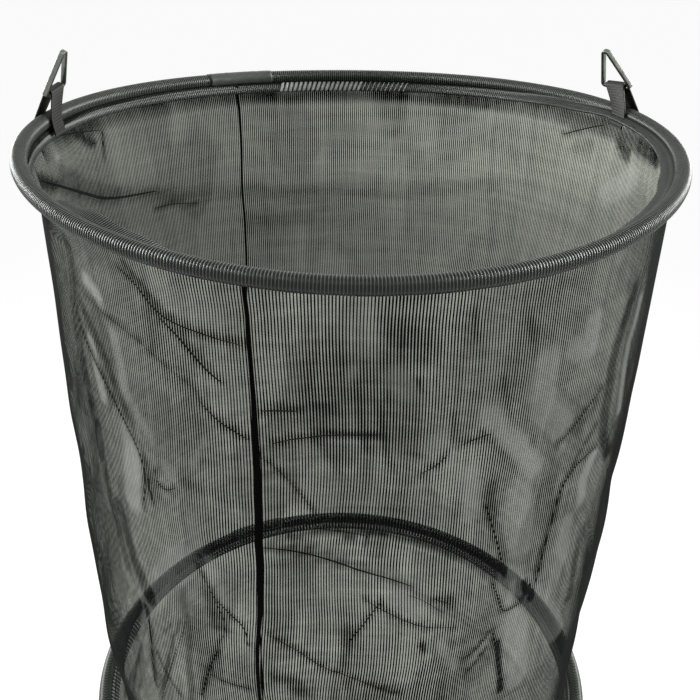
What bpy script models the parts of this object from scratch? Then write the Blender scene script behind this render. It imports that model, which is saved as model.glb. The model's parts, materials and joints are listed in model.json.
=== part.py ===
"""Keep net: a tube of fine mesh on four tape-wrapped hoops, hung by two triangle rings.

Metres, +Z up. The origin is the middle of the top hoop. The lower hoops hang below it
on the net, and each of them can be lifted to the hoop above, as when the net is put
away. Angles round the hoops are counted from +X towards +Y.
"""

import math

import bmesh
import bpy
from mathutils import Matrix, Vector

# Driving dimensions of the hoops
HOOP_RADIUS = 0.250  # to the middle of the rod
HOOP_SPACING = 0.577
HOOP_SADDLE = 0.0058  # the top hoop bends up at its rings and down between them
ROD_RADIUS = 0.0040
ROD_END_GAP = 0.0012  # between the rod's two turned-down ends, inside the ferrule
FERRULE_LENGTH = 0.050
FERRULE_WALL = 0.0008

# The ribbed tape folded round each rod, with both its edges sewn into one flange
TAPE_THICKNESS = 0.0011
FLANGE_LENGTH = 0.0090
FLANGE_THICKNESS = 0.0010
FLANGE_SLOT = 0.0006
TOP_FLANGE_DROP = math.radians(50)
LOWER_FLANGE_DROP = math.radians(30)
LAP_THICKNESS = 0.0008

# The net: two panels between each pair of hoops, joined by two bound seams
NET_THICKNESS = 0.0006
NET_DRAW_IN = 0.0150  # the most that the net draws in, just above a lower hoop
PINCH_HEIGHT = 0.030
HEM_PLACE_SHARE = 0.6  # where the hem lands on the flange, as a share of its length
FOLD_DEPTH = 0.0022
FOLD_COUNT = 9
FOLD_TURN = math.radians(100)  # how far the folds lean on their way down
FRONT_SEAM_AZIMUTH = math.radians(257)
BACK_SEAM_AZIMUTH = math.radians(117)
SEAM_WIDTH = 0.0042
SEAM_THICKNESS = 0.0018
BASE_OVERLAP = 0.0010  # the base net reaches this far out under the flange

# The webbing tabs that straddle the top hoop
LEFT_TAB_AZIMUTH = math.radians(173)
RIGHT_TAB_AZIMUTH = math.radians(19.2)
WEBBING_WIDTH = 0.019
WEBBING_THICKNESS = 0.0012
WEBBING_SLACK = 0.0004
TAB_TAIL = 0.019  # how far the inner leg reaches below the rod
TAB_HOOK = math.radians(50)  # how far the outer leg wraps under the tape

# The triangle rings, bent from flat strip
RING_SIDE_ROOM = 0.0057  # beside the webbing, along the base bar
RING_HEIGHT = 0.0351
RING_STRIP_WIDTH = 0.0040
RING_STRIP_THICKNESS = 0.0026
RING_BASE_BEND = 0.0010  # inside the bend
RING_CROWN_BEND = 0.0006
RING_CROWN_FLAT = 0.0020
RING_EDGE_ROUNDING = 0.0004

# How the rings lie in their tabs: the base bar's place above the rod, its sway towards
# the back along the hoop, the turn of its back end inward and up, and the ring's lean
RING_PIVOT_RISE = 0.0216
RING_PIVOT_INSET = 0.0042
LEFT_RING_SWAY = 0.0110
LEFT_RING_YAW = math.radians(7.2)
LEFT_RING_ROLL = math.radians(4.9)
LEFT_RING_LEAN = math.radians(24.7)
RIGHT_RING_SWAY = 0.0140
RIGHT_RING_YAW = math.radians(17.2)
RIGHT_RING_ROLL = math.radians(-6.3)
RIGHT_RING_LEAN = math.radians(30.3)

# Clearance between pieces that touch, and the fineness of the round shapes
CLEARANCE = 0.0003
WELD_DISTANCE = 0.00001
HOOP_SEGMENTS = 48
LAP_SEGMENTS = 2
TAPE_ARC_STEPS = 7
ROD_BEVEL_RESOLUTION = 1
FERRULE_STEPS = 4
BEND_STEPS = 4
SMOOTH_ANGLE = math.radians(50)

# Rows of the net from the upper hoop to its pinch, as shares of that height
NET_ROW_SHARES = (0.0, 0.1, 0.25, 0.45, 0.62, 0.8, 0.9, 1.0)

# How far down the net is drawn in, as shares of that height and of NET_DRAW_IN
LEFT_DRAW_IN_SHARES = ((0.0, 0.0), (0.1, 0.16), (0.5, 0.28), (0.8, 0.42), (1.0, 1.0))
RIGHT_DRAW_IN_SHARES = ((0.0, 0.0), (0.1, -0.22), (0.5, -0.15), (0.8, 0.33), (1.0, 0.53))

# Worked out from the sizes above
SADDLE_AZIMUTH = (LEFT_TAB_AZIMUTH + RIGHT_TAB_AZIMUTH - math.pi) / 2
FACET_SAG = HOOP_RADIUS * (1 - math.cos(math.pi / HOOP_SEGMENTS))
ROD_END_RADIUS = ROD_RADIUS - FERRULE_WALL - CLEARANCE
TAPE_INNER_RADIUS = (ROD_RADIUS + CLEARANCE) / math.cos(math.pi / TAPE_ARC_STEPS)
TAPE_RADIUS = TAPE_INNER_RADIUS + TAPE_THICKNESS
FLANGE_HALF = FLANGE_SLOT / 2 + FLANGE_THICKNESS
FLANGE_REACH = TAPE_RADIUS + FLANGE_LENGTH
HEM_REACH = TAPE_RADIUS + FLANGE_LENGTH * HEM_PLACE_SHARE
RING_BASE = WEBBING_WIDTH + 2 * RING_SIDE_ROOM
RING_TURN = math.atan2(RING_HEIGHT, RING_BASE / 2)  # from a side of the ring to its crown
RING_CROWN_RADIUS = RING_CROWN_BEND + RING_STRIP_THICKNESS / 2
RING_CROWN = RING_CROWN_FLAT + 2 * RING_CROWN_RADIUS * math.tan(RING_TURN / 2)

# Each hoop's name, flange drop and saddle, from the top down
HOOPS = (
    ("top_hoop", TOP_FLANGE_DROP, HOOP_SADDLE),
    ("second_hoop", LOWER_FLANGE_DROP, 0.0),
    ("third_hoop", LOWER_FLANGE_DROP, 0.0),
    ("base_hoop", LOWER_FLANGE_DROP, 0.0),
)
NET_SECTIONS = ("upper", "middle", "lower")

# Each tab's name and azimuth, and its ring's sway, yaw, roll and lean
TABS = (
    (
        "left", LEFT_TAB_AZIMUTH,
        LEFT_RING_SWAY, LEFT_RING_YAW, LEFT_RING_ROLL, LEFT_RING_LEAN,
    ),
    (
        "right", RIGHT_TAB_AZIMUTH,
        RIGHT_RING_SWAY, RIGHT_RING_YAW, RIGHT_RING_ROLL, RIGHT_RING_LEAN,
    ),
)

# Colour, roughness and metallic value of each material
FINISHES = {
    "hoop_rod": ((0.10, 0.10, 0.09), 0.45, 0.0),
    "ferrule": ((0.45, 0.45, 0.44), 0.35, 1.0),
    "tape": ((0.045, 0.050, 0.045), 0.60, 0.0),
    "tape_lap": ((0.060, 0.064, 0.060), 0.50, 0.0),
    "net": ((0.090, 0.100, 0.088), 0.80, 0.0),
    "seam": ((0.012, 0.013, 0.012), 0.75, 0.0),
    "webbing": ((0.020, 0.020, 0.018), 0.75, 0.0),
    "ring_steel": ((0.30, 0.29, 0.27), 0.35, 1.0),
}


def make_material(name):
    """One Principled material from the finishes above."""
    colour, roughness, metallic = FINISHES[name]
    material = bpy.data.materials.new(name)
    material.use_nodes = True
    shader = material.node_tree.nodes["Principled BSDF"]
    shader.inputs["Base Color"].default_value = (*colour, 1.0)
    shader.inputs["Roughness"].default_value = roughness
    shader.inputs["Metallic"].default_value = metallic
    material.diffuse_color = (*colour, 1.0)
    return material


def add_object(name, data, finish, frame):
    """Put a mesh or curve in the net's collection, under the frame of its hoop."""
    part = bpy.data.objects.new(name, data)
    part.data.materials.append(materials[finish])
    part.parent = frame
    collection.objects.link(part)
    return part


def add_frame(name, height):
    """An empty in the middle of a hoop, which carries that hoop's pieces."""
    frame = bpy.data.objects.new(name, None)
    frame.location = (0.0, 0.0, height)
    collection.objects.link(frame)
    return frame


def add_solidify(part, thickness, offset):
    """Give an open surface its wall."""
    modifier = part.modifiers.new("wall", "SOLIDIFY")
    modifier.thickness = thickness
    modifier.offset = offset
    return modifier


def polar(radius, azimuth, height):
    """A point at a radius, azimuth and height."""
    return Vector((radius * math.cos(azimuth), radius * math.sin(azimuth), height))


def saddle_height(azimuth, amount):
    """Height of a bent hoop above its mean plane."""
    return amount * math.cos(2 * (azimuth - SADDLE_AZIMUTH))


def faceted_radius(azimuth):
    """Radius of the hoop's many-sided ring at an azimuth, so that pieces in it line up."""
    half = math.pi / HOOP_SEGMENTS
    within = (azimuth - BACK_SEAM_AZIMUTH) % (2 * half) - half
    return HOOP_RADIUS * math.cos(half) / math.cos(within)


def hoop_centre(azimuth, amount):
    """The middle of the rod at an azimuth."""
    return polar(faceted_radius(azimuth), azimuth, saddle_height(azimuth, amount))


def section_point(out, up):
    """A point of a hoop's section, out and up from the middle of its rod."""
    return (HOOP_RADIUS + out, up)


def section_arc(radius, first, last):
    """Points of a section arc round the rod, its angles counted from outward to up."""
    turns = [first + (last - first) * step / TAPE_ARC_STEPS for step in range(TAPE_ARC_STEPS + 1)]
    return [section_point(radius * math.cos(turn), radius * math.sin(turn)) for turn in turns]


def flange_point(drop, distance, offset):
    """A section point along the flange, offset to its lower, outer side."""
    out = -distance * math.cos(drop) + offset * math.sin(drop)
    up = -distance * math.sin(drop) - offset * math.cos(drop)
    return section_point(out, up)


def tape_profile(drop):
    """The tape's section: a tube round the rod that ends in two sewn legs."""
    middle = math.pi + drop
    outer_half = math.asin(FLANGE_HALF / TAPE_RADIUS)
    slot_half = FLANGE_SLOT / 2
    inner_half = math.asin(slot_half / TAPE_INNER_RADIUS)
    outside = section_arc(TAPE_RADIUS, middle + outer_half, middle + math.tau - outer_half)
    inside = section_arc(
        TAPE_INNER_RADIUS, middle + math.tau - inner_half, middle + inner_half
    )
    upper_tip = [flange_point(drop, FLANGE_REACH, offset) for offset in (-FLANGE_HALF, -slot_half)]
    lower_tip = [flange_point(drop, FLANGE_REACH, offset) for offset in (slot_half, FLANGE_HALF)]
    return outside + upper_tip + inside + lower_tip


def lap_profile(drop):
    """Section of the short wrap that covers the tape's join, clear of the flange."""
    middle = math.pi + drop
    inner_radius = TAPE_RADIUS + CLEARANCE
    half = math.asin((FLANGE_HALF + CLEARANCE) / inner_radius)
    first, last = middle + half, middle + math.tau - half
    outside = section_arc(inner_radius + LAP_THICKNESS, first, last)
    return outside + section_arc(inner_radius, last, first)


def turned_mesh(name, profile, start, turn, steps, amount):
    """Turn a closed section round Z, wholly or in part, and bend it to the saddle."""
    mesh = bmesh.new()
    points = [mesh.verts.new(polar(radius, start, height)) for radius, height in profile]
    whole = math.isclose(turn, math.tau)
    if whole:
        loop = [mesh.edges.new(pair) for pair in zip(points, points[1:] + points[:1])]
        geometry = points + loop
    else:
        face = mesh.faces.new(points)
        geometry = points + list(face.edges) + [face]
    bmesh.ops.spin(
        mesh, geom=geometry, cent=(0, 0, 0), axis=(0, 0, 1), angle=turn, steps=steps,
        use_merge=whole, use_duplicate=False,
    )
    bmesh.ops.remove_doubles(mesh, verts=mesh.verts, dist=WELD_DISTANCE)
    bmesh.ops.recalc_face_normals(mesh, faces=mesh.faces)
    for vertex in mesh.verts:
        azimuth = math.atan2(vertex.co.y, vertex.co.x)
        vertex.co.z += saddle_height(azimuth, amount)
    data = bpy.data.meshes.new(name)
    mesh.to_mesh(data)
    mesh.free()
    data.shade_smooth()
    data.set_sharp_from_angle(angle=SMOOTH_ANGLE)
    return data


def tube_curve(name, stations, radius, amount, capped):
    """A round bar along the hoop, from its stations of (azimuth, share of the radius)."""
    curve = bpy.data.curves.new(name, "CURVE")
    curve.dimensions = "3D"
    curve.bevel_depth = radius
    curve.bevel_resolution = ROD_BEVEL_RESOLUTION
    curve.use_fill_caps = capped
    spline = curve.splines.new("POLY")
    spline.points.add(len(stations) - 1)
    for point, (azimuth, share) in zip(spline.points, stations):
        point.co = (*hoop_centre(azimuth, amount), 1.0)
        point.radius = share
    return curve


def add_rod(hoop, amount, frame):
    """An open ring of rod, whose two turned-down ends nearly meet at the back seam."""
    first = ROD_END_GAP / 2 / HOOP_RADIUS
    neck = (FERRULE_LENGTH / 2 + CLEARANCE) / HOOP_RADIUS
    shoulder = neck + CLEARANCE / HOOP_RADIUS
    end_share = ROD_END_RADIUS / ROD_RADIUS
    one_end = [(first, end_share), (neck, end_share), (shoulder, 1.0)]
    corners = [math.tau * index / HOOP_SEGMENTS for index in range(1, HOOP_SEGMENTS)]
    middle = [(turn, 1.0) for turn in corners if shoulder < turn < math.tau - shoulder]
    other_end = [(math.tau - turn, share) for turn, share in reversed(one_end)]
    stations = [
        (BACK_SEAM_AZIMUTH + turn, share) for turn, share in one_end + middle + other_end
    ]
    curve = tube_curve(f"{hoop}_rod", stations, ROD_RADIUS, amount, capped=True)
    return add_object(f"{hoop}_rod", curve, "hoop_rod", frame)


def add_ferrule(hoop, amount, frame):
    """The short tube in which the rod's two ends meet, flush with the rod."""
    half = FERRULE_LENGTH / 2 / HOOP_RADIUS
    stations = [
        (BACK_SEAM_AZIMUTH - half + 2 * half * step / FERRULE_STEPS, 1.0)
        for step in range(FERRULE_STEPS + 1)
    ]
    curve = tube_curve(f"{hoop}_ferrule", stations, ROD_RADIUS, amount, capped=False)
    part = add_object(f"{hoop}_ferrule", curve, "ferrule", frame)
    add_solidify(part, FERRULE_WALL, -1.0)
    return part


def add_tape(hoop, drop, amount, frame):
    """The ribbed tape folded round the whole rod, and the lap over its join."""
    tape = turned_mesh(
        f"{hoop}_tape", tape_profile(drop), BACK_SEAM_AZIMUTH, math.tau, HOOP_SEGMENTS, amount
    )
    add_object(f"{hoop}_tape", tape, "tape", frame)
    turn = math.tau * LAP_SEGMENTS / HOOP_SEGMENTS
    start = BACK_SEAM_AZIMUTH - turn / 2
    lap = turned_mesh(f"{hoop}_lap", lap_profile(drop), start, turn, LAP_SEGMENTS, amount)
    add_object(f"{hoop}_lap", lap, "tape_lap", frame)


def net_ends(section, thickness):
    """Radius and height of a section's top and hem, below and above the two flanges."""
    _, upper_drop, upper_saddle = HOOPS[section]
    _, lower_drop, _ = HOOPS[section + 1]
    top_radius, top = flange_point(upper_drop, FLANGE_REACH, FLANGE_HALF)
    hem_radius, hem = flange_point(lower_drop, HEM_REACH, -FLANGE_HALF)
    hem += CLEARANCE + (thickness / 2 + FACET_SAG) * math.tan(lower_drop)
    return top_radius, top - CLEARANCE, upper_saddle, hem_radius, hem - HOOP_SPACING


def eased_share(table, reach):
    """A share read from (reach, share) pairs, with smooth steps between them."""
    for (start, first), (end, last) in zip(table, table[1:]):
        if reach <= end:
            step = (reach - start) / (end - start)
            return first + (last - first) * step * step * (3 - 2 * step)
    return table[-1][1]


def draw_in(azimuth, reach):
    """How far the net draws in, which differs between its left and right sides."""
    right = (1 + math.cos(azimuth)) / 2
    left_share = eased_share(LEFT_DRAW_IN_SHARES, reach)
    right_share = eased_share(RIGHT_DRAW_IN_SHARES, reach)
    return NET_DRAW_IN * (right_share * right + left_share * (1 - right))


def net_point(section, azimuth, share, ends):
    """A point of the net, at a share of the way down from the top to its pinch or hem."""
    top_radius, top, amount, hem_radius, hem = ends
    top += saddle_height(azimuth, amount)
    pinch = hem + PINCH_HEIGHT
    reach = min(share, 1.0)
    height = top + (pinch - top) * reach
    radius = top_radius + (hem_radius - top_radius) * (top - height) / (top - hem)
    radius -= draw_in(azimuth, reach)
    lean = FOLD_COUNT * azimuth + FOLD_TURN * (reach + section)
    radius += FOLD_DEPTH * math.sin(math.pi * reach) * math.sin(lean)
    if share > 1.0:
        return polar(hem_radius, azimuth, hem)
    return polar(radius, azimuth, height)


def net_mesh(name, section, start, turn, thickness):
    """The open surface of a panel or seam: a row of points spun round, then shaped."""
    ends = net_ends(section, thickness)
    shares = NET_ROW_SHARES + (2.0,)
    steps = max(1, round(HOOP_SEGMENTS * turn / math.tau))
    mesh = bmesh.new()
    rows = [mesh.verts.new(polar(HOOP_RADIUS, start, -share)) for share in shares]
    edges = [mesh.edges.new(pair) for pair in zip(rows, rows[1:])]
    bmesh.ops.spin(
        mesh, geom=rows + edges, cent=(0, 0, 0), axis=(0, 0, 1), angle=turn, steps=steps,
        use_duplicate=False,
    )
    for vertex in mesh.verts:
        azimuth = math.atan2(vertex.co.y, vertex.co.x)
        vertex.co = net_point(section, azimuth, -vertex.co.z, ends)
    bmesh.ops.recalc_face_normals(mesh, faces=mesh.faces)
    data = bpy.data.meshes.new(name)
    mesh.to_mesh(data)
    mesh.free()
    data.shade_smooth()
    return data


def add_net(section, frame):
    """The two panels and the two bound seams between a hoop and the next one down."""
    part_of_net = NET_SECTIONS[section]
    seam_half = SEAM_WIDTH / 2 / HOOP_RADIUS
    hem_radius, _ = flange_point(LOWER_FLANGE_DROP, HEM_REACH, 0.0)
    side_gap = seam_half + CLEARANCE / (hem_radius - NET_DRAW_IN)
    turn = FRONT_SEAM_AZIMUTH - BACK_SEAM_AZIMUTH
    for side, start, full in (
        ("left", BACK_SEAM_AZIMUTH, turn),
        ("right", FRONT_SEAM_AZIMUTH, math.tau - turn),
    ):
        name = f"{part_of_net}_net_{side}_panel"
        data = net_mesh(name, section, start + side_gap, full - 2 * side_gap, NET_THICKNESS)
        add_solidify(add_object(name, data, "net", frame), NET_THICKNESS, 0.0)
    for side, azimuth in (("front", FRONT_SEAM_AZIMUTH), ("back", BACK_SEAM_AZIMUTH)):
        name = f"{part_of_net}_net_{side}_seam"
        data = net_mesh(name, section, azimuth - seam_half, 2 * seam_half, SEAM_THICKNESS)
        add_solidify(add_object(name, data, "seam", frame), SEAM_THICKNESS, 0.0)


def add_base_net(frame):
    """The flat disc of net that closes the bottom, sewn under the base hoop's flange."""
    radius, underside = flange_point(LOWER_FLANGE_DROP, FLANGE_REACH, FLANGE_HALF)
    mesh = bmesh.new()
    bmesh.ops.create_cone(
        mesh, cap_ends=True, segments=HOOP_SEGMENTS, radius1=radius + BASE_OVERLAP,
        radius2=radius + BASE_OVERLAP, depth=NET_THICKNESS,
    )
    middle = underside - CLEARANCE - NET_THICKNESS / 2
    bmesh.ops.translate(mesh, verts=mesh.verts, vec=(0, 0, middle))
    data = bpy.data.meshes.new("base_net")
    mesh.to_mesh(data)
    mesh.free()
    return add_object("base_net", data, "net", frame)


def hoop_axes(azimuth):
    """The rod's middle under a tab, and the ways outward, back along the hoop, and up."""
    origin = polar(HOOP_RADIUS, azimuth, saddle_height(azimuth, HOOP_SADDLE))
    outward = polar(1.0, azimuth, 0.0)
    up = Vector((0, 0, 1))
    back = up.cross(outward)
    if back.y < 0:
        back.negate()
    return origin, outward, back, up


def ring_axes(azimuth, sway, yaw, roll):
    """The middle of a ring's base bar, its own direction, and the ways inward and up."""
    origin, outward, back, up = hoop_axes(azimuth)
    pivot = origin - outward * RING_PIVOT_INSET + up * RING_PIVOT_RISE + back * sway
    across = back * math.cos(yaw) - outward * math.sin(yaw)
    inward = -outward * math.cos(yaw) - back * math.sin(yaw)
    bar = across * math.cos(roll) + up * math.sin(roll)
    rise = up * math.cos(roll) - across * math.sin(roll)
    return pivot, bar, inward, rise


def tab_stations(azimuth, sway, yaw, roll):
    """Middle and cross direction of the webbing, from under the tape, over the bar, to its tail."""
    origin, outward, back, up = hoop_axes(azimuth)
    pivot, bar, inward, rise = ring_axes(azimuth, sway, yaw, roll)
    half = WEBBING_THICKNESS / 2
    bar_corner = math.hypot(RING_STRIP_WIDTH, RING_STRIP_THICKNESS) / 2
    loop_radius = bar_corner + WEBBING_SLACK + half
    wrap_radius = TAPE_RADIUS + CLEARANCE + half
    loop_side = Vector((loop_radius - RING_PIVOT_INSET, RING_PIVOT_RISE))
    tangent = math.atan2(loop_side.y, loop_side.x) - math.acos(wrap_radius / loop_side.length)
    wraps = [
        -TAB_HOOK + (tangent + TAB_HOOK) * step / BEND_STEPS for step in range(BEND_STEPS + 1)
    ]
    outer_leg = [
        origin + (outward * math.cos(turn) + up * math.sin(turn)) * wrap_radius for turn in wraps
    ]
    turns = [math.pi * step / (2 * BEND_STEPS) for step in range(2 * BEND_STEPS + 1)]
    over = [
        pivot + (rise * math.sin(turn) - inward * math.cos(turn)) * loop_radius for turn in turns
    ]
    curve_sag = WEBBING_WIDTH ** 2 / 8 / HOOP_RADIUS
    room = CLEARANCE + half + FACET_SAG + curve_sag
    tip_radius, tip_height = flange_point(TOP_FLANGE_DROP, FLANGE_REACH, -FLANGE_HALF)
    tail_out = tip_radius - HOOP_RADIUS - room
    inner_leg = [
        origin - outward * (TAPE_RADIUS + room),
        origin + outward * tail_out + up * tip_height,
        origin + outward * tail_out - up * TAB_TAIL,
    ]
    crosses = [back] * len(outer_leg) + [bar] * len(over) + [back] * len(inner_leg)
    return list(zip(outer_leg + over + inner_leg, crosses))


def add_tab(side, stations, frame):
    """A strap over the ring's base bar, straddling the hoop and sewn to the net inside."""
    name = f"{side}_tab"
    last = len(stations) - 1
    mesh = bmesh.new()
    bmesh.ops.create_grid(mesh, x_segments=last, y_segments=1, size=0.5)
    for vertex in mesh.verts:
        middle, cross = stations[round((vertex.co.x + 0.5) * last)]
        vertex.co = middle + cross * WEBBING_WIDTH * vertex.co.y
    data = bpy.data.meshes.new(name)
    mesh.to_mesh(data)
    mesh.free()
    part = add_object(name, data, "webbing", frame)
    add_solidify(part, WEBBING_THICKNESS, 0.0)
    return part


def rounded_outline(corners, bends, offset):
    """A corner-rounded outline, moved outward from its middle line by an offset."""
    outline = []
    for index, (corner, bend) in enumerate(zip(corners, bends)):
        back = (corners[index - 1] - corner).normalized()
        ahead = (corners[(index + 1) % len(corners)] - corner).normalized()
        half = back.angle(ahead) / 2
        centre = corner + (back + ahead).normalized() * bend / math.sin(half)
        sweep = math.pi - 2 * half
        first = math.atan2(-back.x, back.y) - math.pi
        for step in range(BEND_STEPS + 1):
            turn = first + sweep * step / BEND_STEPS
            outline.append(centre + Vector((math.cos(turn), math.sin(turn))) * (bend + offset))
    return outline


def ring_outlines():
    """The inner and outer outlines of the bent strip, its base bar's middle at zero."""
    corners = [
        Vector((-RING_BASE / 2, 0)),
        Vector((RING_BASE / 2, 0)),
        Vector((RING_CROWN / 2, RING_HEIGHT)),
        Vector((-RING_CROWN / 2, RING_HEIGHT)),
    ]
    half = RING_STRIP_THICKNESS / 2
    base_radius = RING_BASE_BEND + half
    bends = (base_radius, base_radius, RING_CROWN_RADIUS, RING_CROWN_RADIUS)
    return [rounded_outline(corners, bends, offset) for offset in (half, -half)]


def add_ring(side, pivot, bar, height, frame):
    """A triangle of bent strip, with its origin on its base bar, where it swings."""
    name = f"{side}_triangle_ring"
    curve = bpy.data.curves.new(name, "CURVE")
    curve.dimensions = "2D"
    curve.fill_mode = "BOTH"
    curve.extrude = RING_STRIP_WIDTH / 2
    for outline in ring_outlines():
        spline = curve.splines.new("POLY")
        spline.use_cyclic_u = True
        spline.points.add(len(outline) - 1)
        for point, place in zip(spline.points, outline):
            point.co = (place.x, place.y, 0.0, 1.0)
    part = add_object(name, curve, "ring_steel", frame)
    weld = part.modifiers.new("weld", "WELD")
    weld.merge_threshold = WELD_DISTANCE
    bevel = part.modifiers.new("rounded edges", "BEVEL")
    bevel.width = RING_EDGE_ROUNDING
    bevel.segments = 1
    bevel.limit_method = "ANGLE"
    bevel.angle_limit = SMOOTH_ANGLE
    matrix = Matrix((bar, height, bar.cross(height))).transposed().to_4x4()
    matrix.translation = pivot
    part.matrix_local = matrix
    return part


def build():
    """Model the whole net, hoop by hoop from the top down."""
    frames = [
        add_frame(f"{hoop}_frame", -index * HOOP_SPACING)
        for index, (hoop, _, _) in enumerate(HOOPS)
    ]
    for frame, (hoop, drop, amount) in zip(frames, HOOPS):
        add_rod(hoop, amount, frame)
        add_ferrule(hoop, amount, frame)
        add_tape(hoop, drop, amount, frame)
    for section in range(len(NET_SECTIONS)):
        add_net(section, frames[section])
    add_base_net(frames[-1])
    for side, azimuth, sway, yaw, roll, lean in TABS:
        add_tab(side, tab_stations(azimuth, sway, yaw, roll), frames[0])
        pivot, bar, inward, rise = ring_axes(azimuth, sway, yaw, roll)
        height = rise * math.cos(lean) + inward * math.sin(lean)
        add_ring(side, pivot, bar, height, frames[0])


for old in list(bpy.data.objects):
    bpy.data.objects.remove(old)
collection = bpy.data.collections.new("keep_net")
bpy.context.scene.collection.children.link(collection)
materials = {name: make_material(name) for name in FINISHES}
build()
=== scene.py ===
# %% [markdown]
# # Dressing a keep net
# A keep net is a long tube of fine mesh that anglers hang in the water from two rings. This
# lesson takes its plain solids, which another script has already made, and gives every piece
# its real surface: ribbed tape, see-through mesh, sewn seams, webbing and steel rings. The
# solids stay where they are, and all lengths are in metres.

# %% Load the frame
import json
import math

import bmesh
import bpy
from mathutils import Matrix, Vector, noise


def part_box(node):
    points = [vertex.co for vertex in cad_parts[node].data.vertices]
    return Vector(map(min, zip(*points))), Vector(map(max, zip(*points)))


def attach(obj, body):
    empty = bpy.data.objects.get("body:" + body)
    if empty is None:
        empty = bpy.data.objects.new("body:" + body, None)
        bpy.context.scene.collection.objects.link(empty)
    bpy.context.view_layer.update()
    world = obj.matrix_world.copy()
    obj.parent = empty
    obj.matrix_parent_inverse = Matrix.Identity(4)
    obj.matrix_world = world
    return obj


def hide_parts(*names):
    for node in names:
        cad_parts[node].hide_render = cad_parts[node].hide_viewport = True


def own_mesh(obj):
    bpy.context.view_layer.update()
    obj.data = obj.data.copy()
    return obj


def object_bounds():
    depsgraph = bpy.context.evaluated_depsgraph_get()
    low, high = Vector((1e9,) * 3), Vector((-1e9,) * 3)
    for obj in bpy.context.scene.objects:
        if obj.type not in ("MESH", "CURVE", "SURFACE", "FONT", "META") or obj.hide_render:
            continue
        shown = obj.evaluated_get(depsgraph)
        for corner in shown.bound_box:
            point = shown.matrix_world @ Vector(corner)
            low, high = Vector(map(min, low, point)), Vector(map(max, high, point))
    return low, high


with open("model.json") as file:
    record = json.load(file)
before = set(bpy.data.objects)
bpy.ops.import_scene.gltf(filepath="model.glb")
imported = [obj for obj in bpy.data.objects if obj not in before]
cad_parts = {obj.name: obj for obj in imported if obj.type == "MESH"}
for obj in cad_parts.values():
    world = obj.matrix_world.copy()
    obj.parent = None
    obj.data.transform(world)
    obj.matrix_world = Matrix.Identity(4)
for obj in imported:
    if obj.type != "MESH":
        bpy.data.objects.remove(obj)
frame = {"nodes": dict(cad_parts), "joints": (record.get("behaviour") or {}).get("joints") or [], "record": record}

cad_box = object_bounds()

# %% [markdown]
# The photograph looks down into the mouth of the net from just above its near side. Its two
# hoops appear as ellipses, and a camera that draws both of them in the right place is the
# camera that took it. We give its lens in pixels of a 700 pixel frame, and turn that into
# millimetres for a 36 mm sensor.

# %% The camera
FRAME_PIXELS = 700
FOCAL_PIXELS = 952.7
SENSOR_MM = 36.0
CAMERA_PLACE = Vector((0.002, -0.7354, 0.2233))
CAMERA_PITCH = math.radians(29.12)
CAMERA_ROLL = math.radians(1.15)

camera_data = bpy.data.cameras.new("camera")
camera_data.sensor_width = SENSOR_MM
camera_data.lens = FOCAL_PIXELS / FRAME_PIXELS * SENSOR_MM
camera_data.clip_start = 0.01
camera = bpy.data.objects.new("camera", camera_data)
tilt = Matrix.Rotation(math.pi / 2 - CAMERA_PITCH, 4, "X") @ Matrix.Rotation(CAMERA_ROLL, 4, "Z")
camera.matrix_world = Matrix.Translation(CAMERA_PLACE) @ tilt
bpy.context.scene.collection.objects.link(camera)
bpy.context.scene.camera = camera
bpy.context.scene.view_settings.view_transform = "Standard"
print("lens", round(camera_data.lens, 2), "mm")

# %% [markdown]
# Colours in this lesson are sRGB hex values, the numbers that a paint chart or a colour picker
# gives. Blender's shaders want linear light, so one function turns the first into the second.
# A second small function adds a node, sets it up and links it, which keeps every material
# below short enough to read. Its inputs are given in the order of the sockets, or by their
# names or numbers, and a node among them is linked by its first output. A third gives a
# material its two tones and the rest of its surface, because most finishes here end that way.
# The four kinds of node that are used most get short names.

# %% Colours and nodes
MATH = "ShaderNodeMath"
MIX = "ShaderNodeMix"
SPREAD = "ShaderNodeMapRange"
NOISE = "ShaderNodeTexNoise"


def linear(code):
    """The linear colour of an sRGB hex value."""
    shares = [int(code[start:start + 2], 16) / 255 for start in (1, 3, 5)]
    bent = [c / 12.92 if c <= 0.04045 else ((c + 0.055) / 1.055) ** 2.4 for c in shares]
    return (*bent, 1.0)


def add(tree, kind, inputs=(), **settings):
    """One node with its settings, and with its inputs filled or linked."""
    made = tree.nodes.new(kind)
    for name, value in settings.items():
        setattr(made, name, value)
    named = inputs if isinstance(inputs, dict) else dict(enumerate(inputs))
    for socket, value in named.items():
        if isinstance(value, bpy.types.Node):
            value = value.outputs[0]
        if isinstance(value, bpy.types.NodeSocket):
            tree.links.new(value, made.inputs[socket])
        else:
            made.inputs[socket].default_value = value
    return made


def new_material(name):
    """An empty node material, and its tree."""
    material = bpy.data.materials.new(name)
    material.use_nodes = True
    material.node_tree.nodes.clear()
    return material, material.node_tree


def two_toned(tree, blend, dark, light, **surface):
    """Finish a material with two tones, blended by a pattern, and its other surface values."""
    tone = add(tree, MIX, {0: blend, 6: linear(dark), 7: linear(light)}, data_type="RGBA")
    named = {name.replace("_", " "): value for name, value in surface.items()}
    shader = add(tree, "ShaderNodeBsdfPrincipled", {"Base Color": tone.outputs[2], **named})
    add(tree, "ShaderNodeOutputMaterial", {"Surface": shader})
    return shader


print("mid grey renders at", [round(c, 3) for c in linear("#808080")[:3]])
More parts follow.
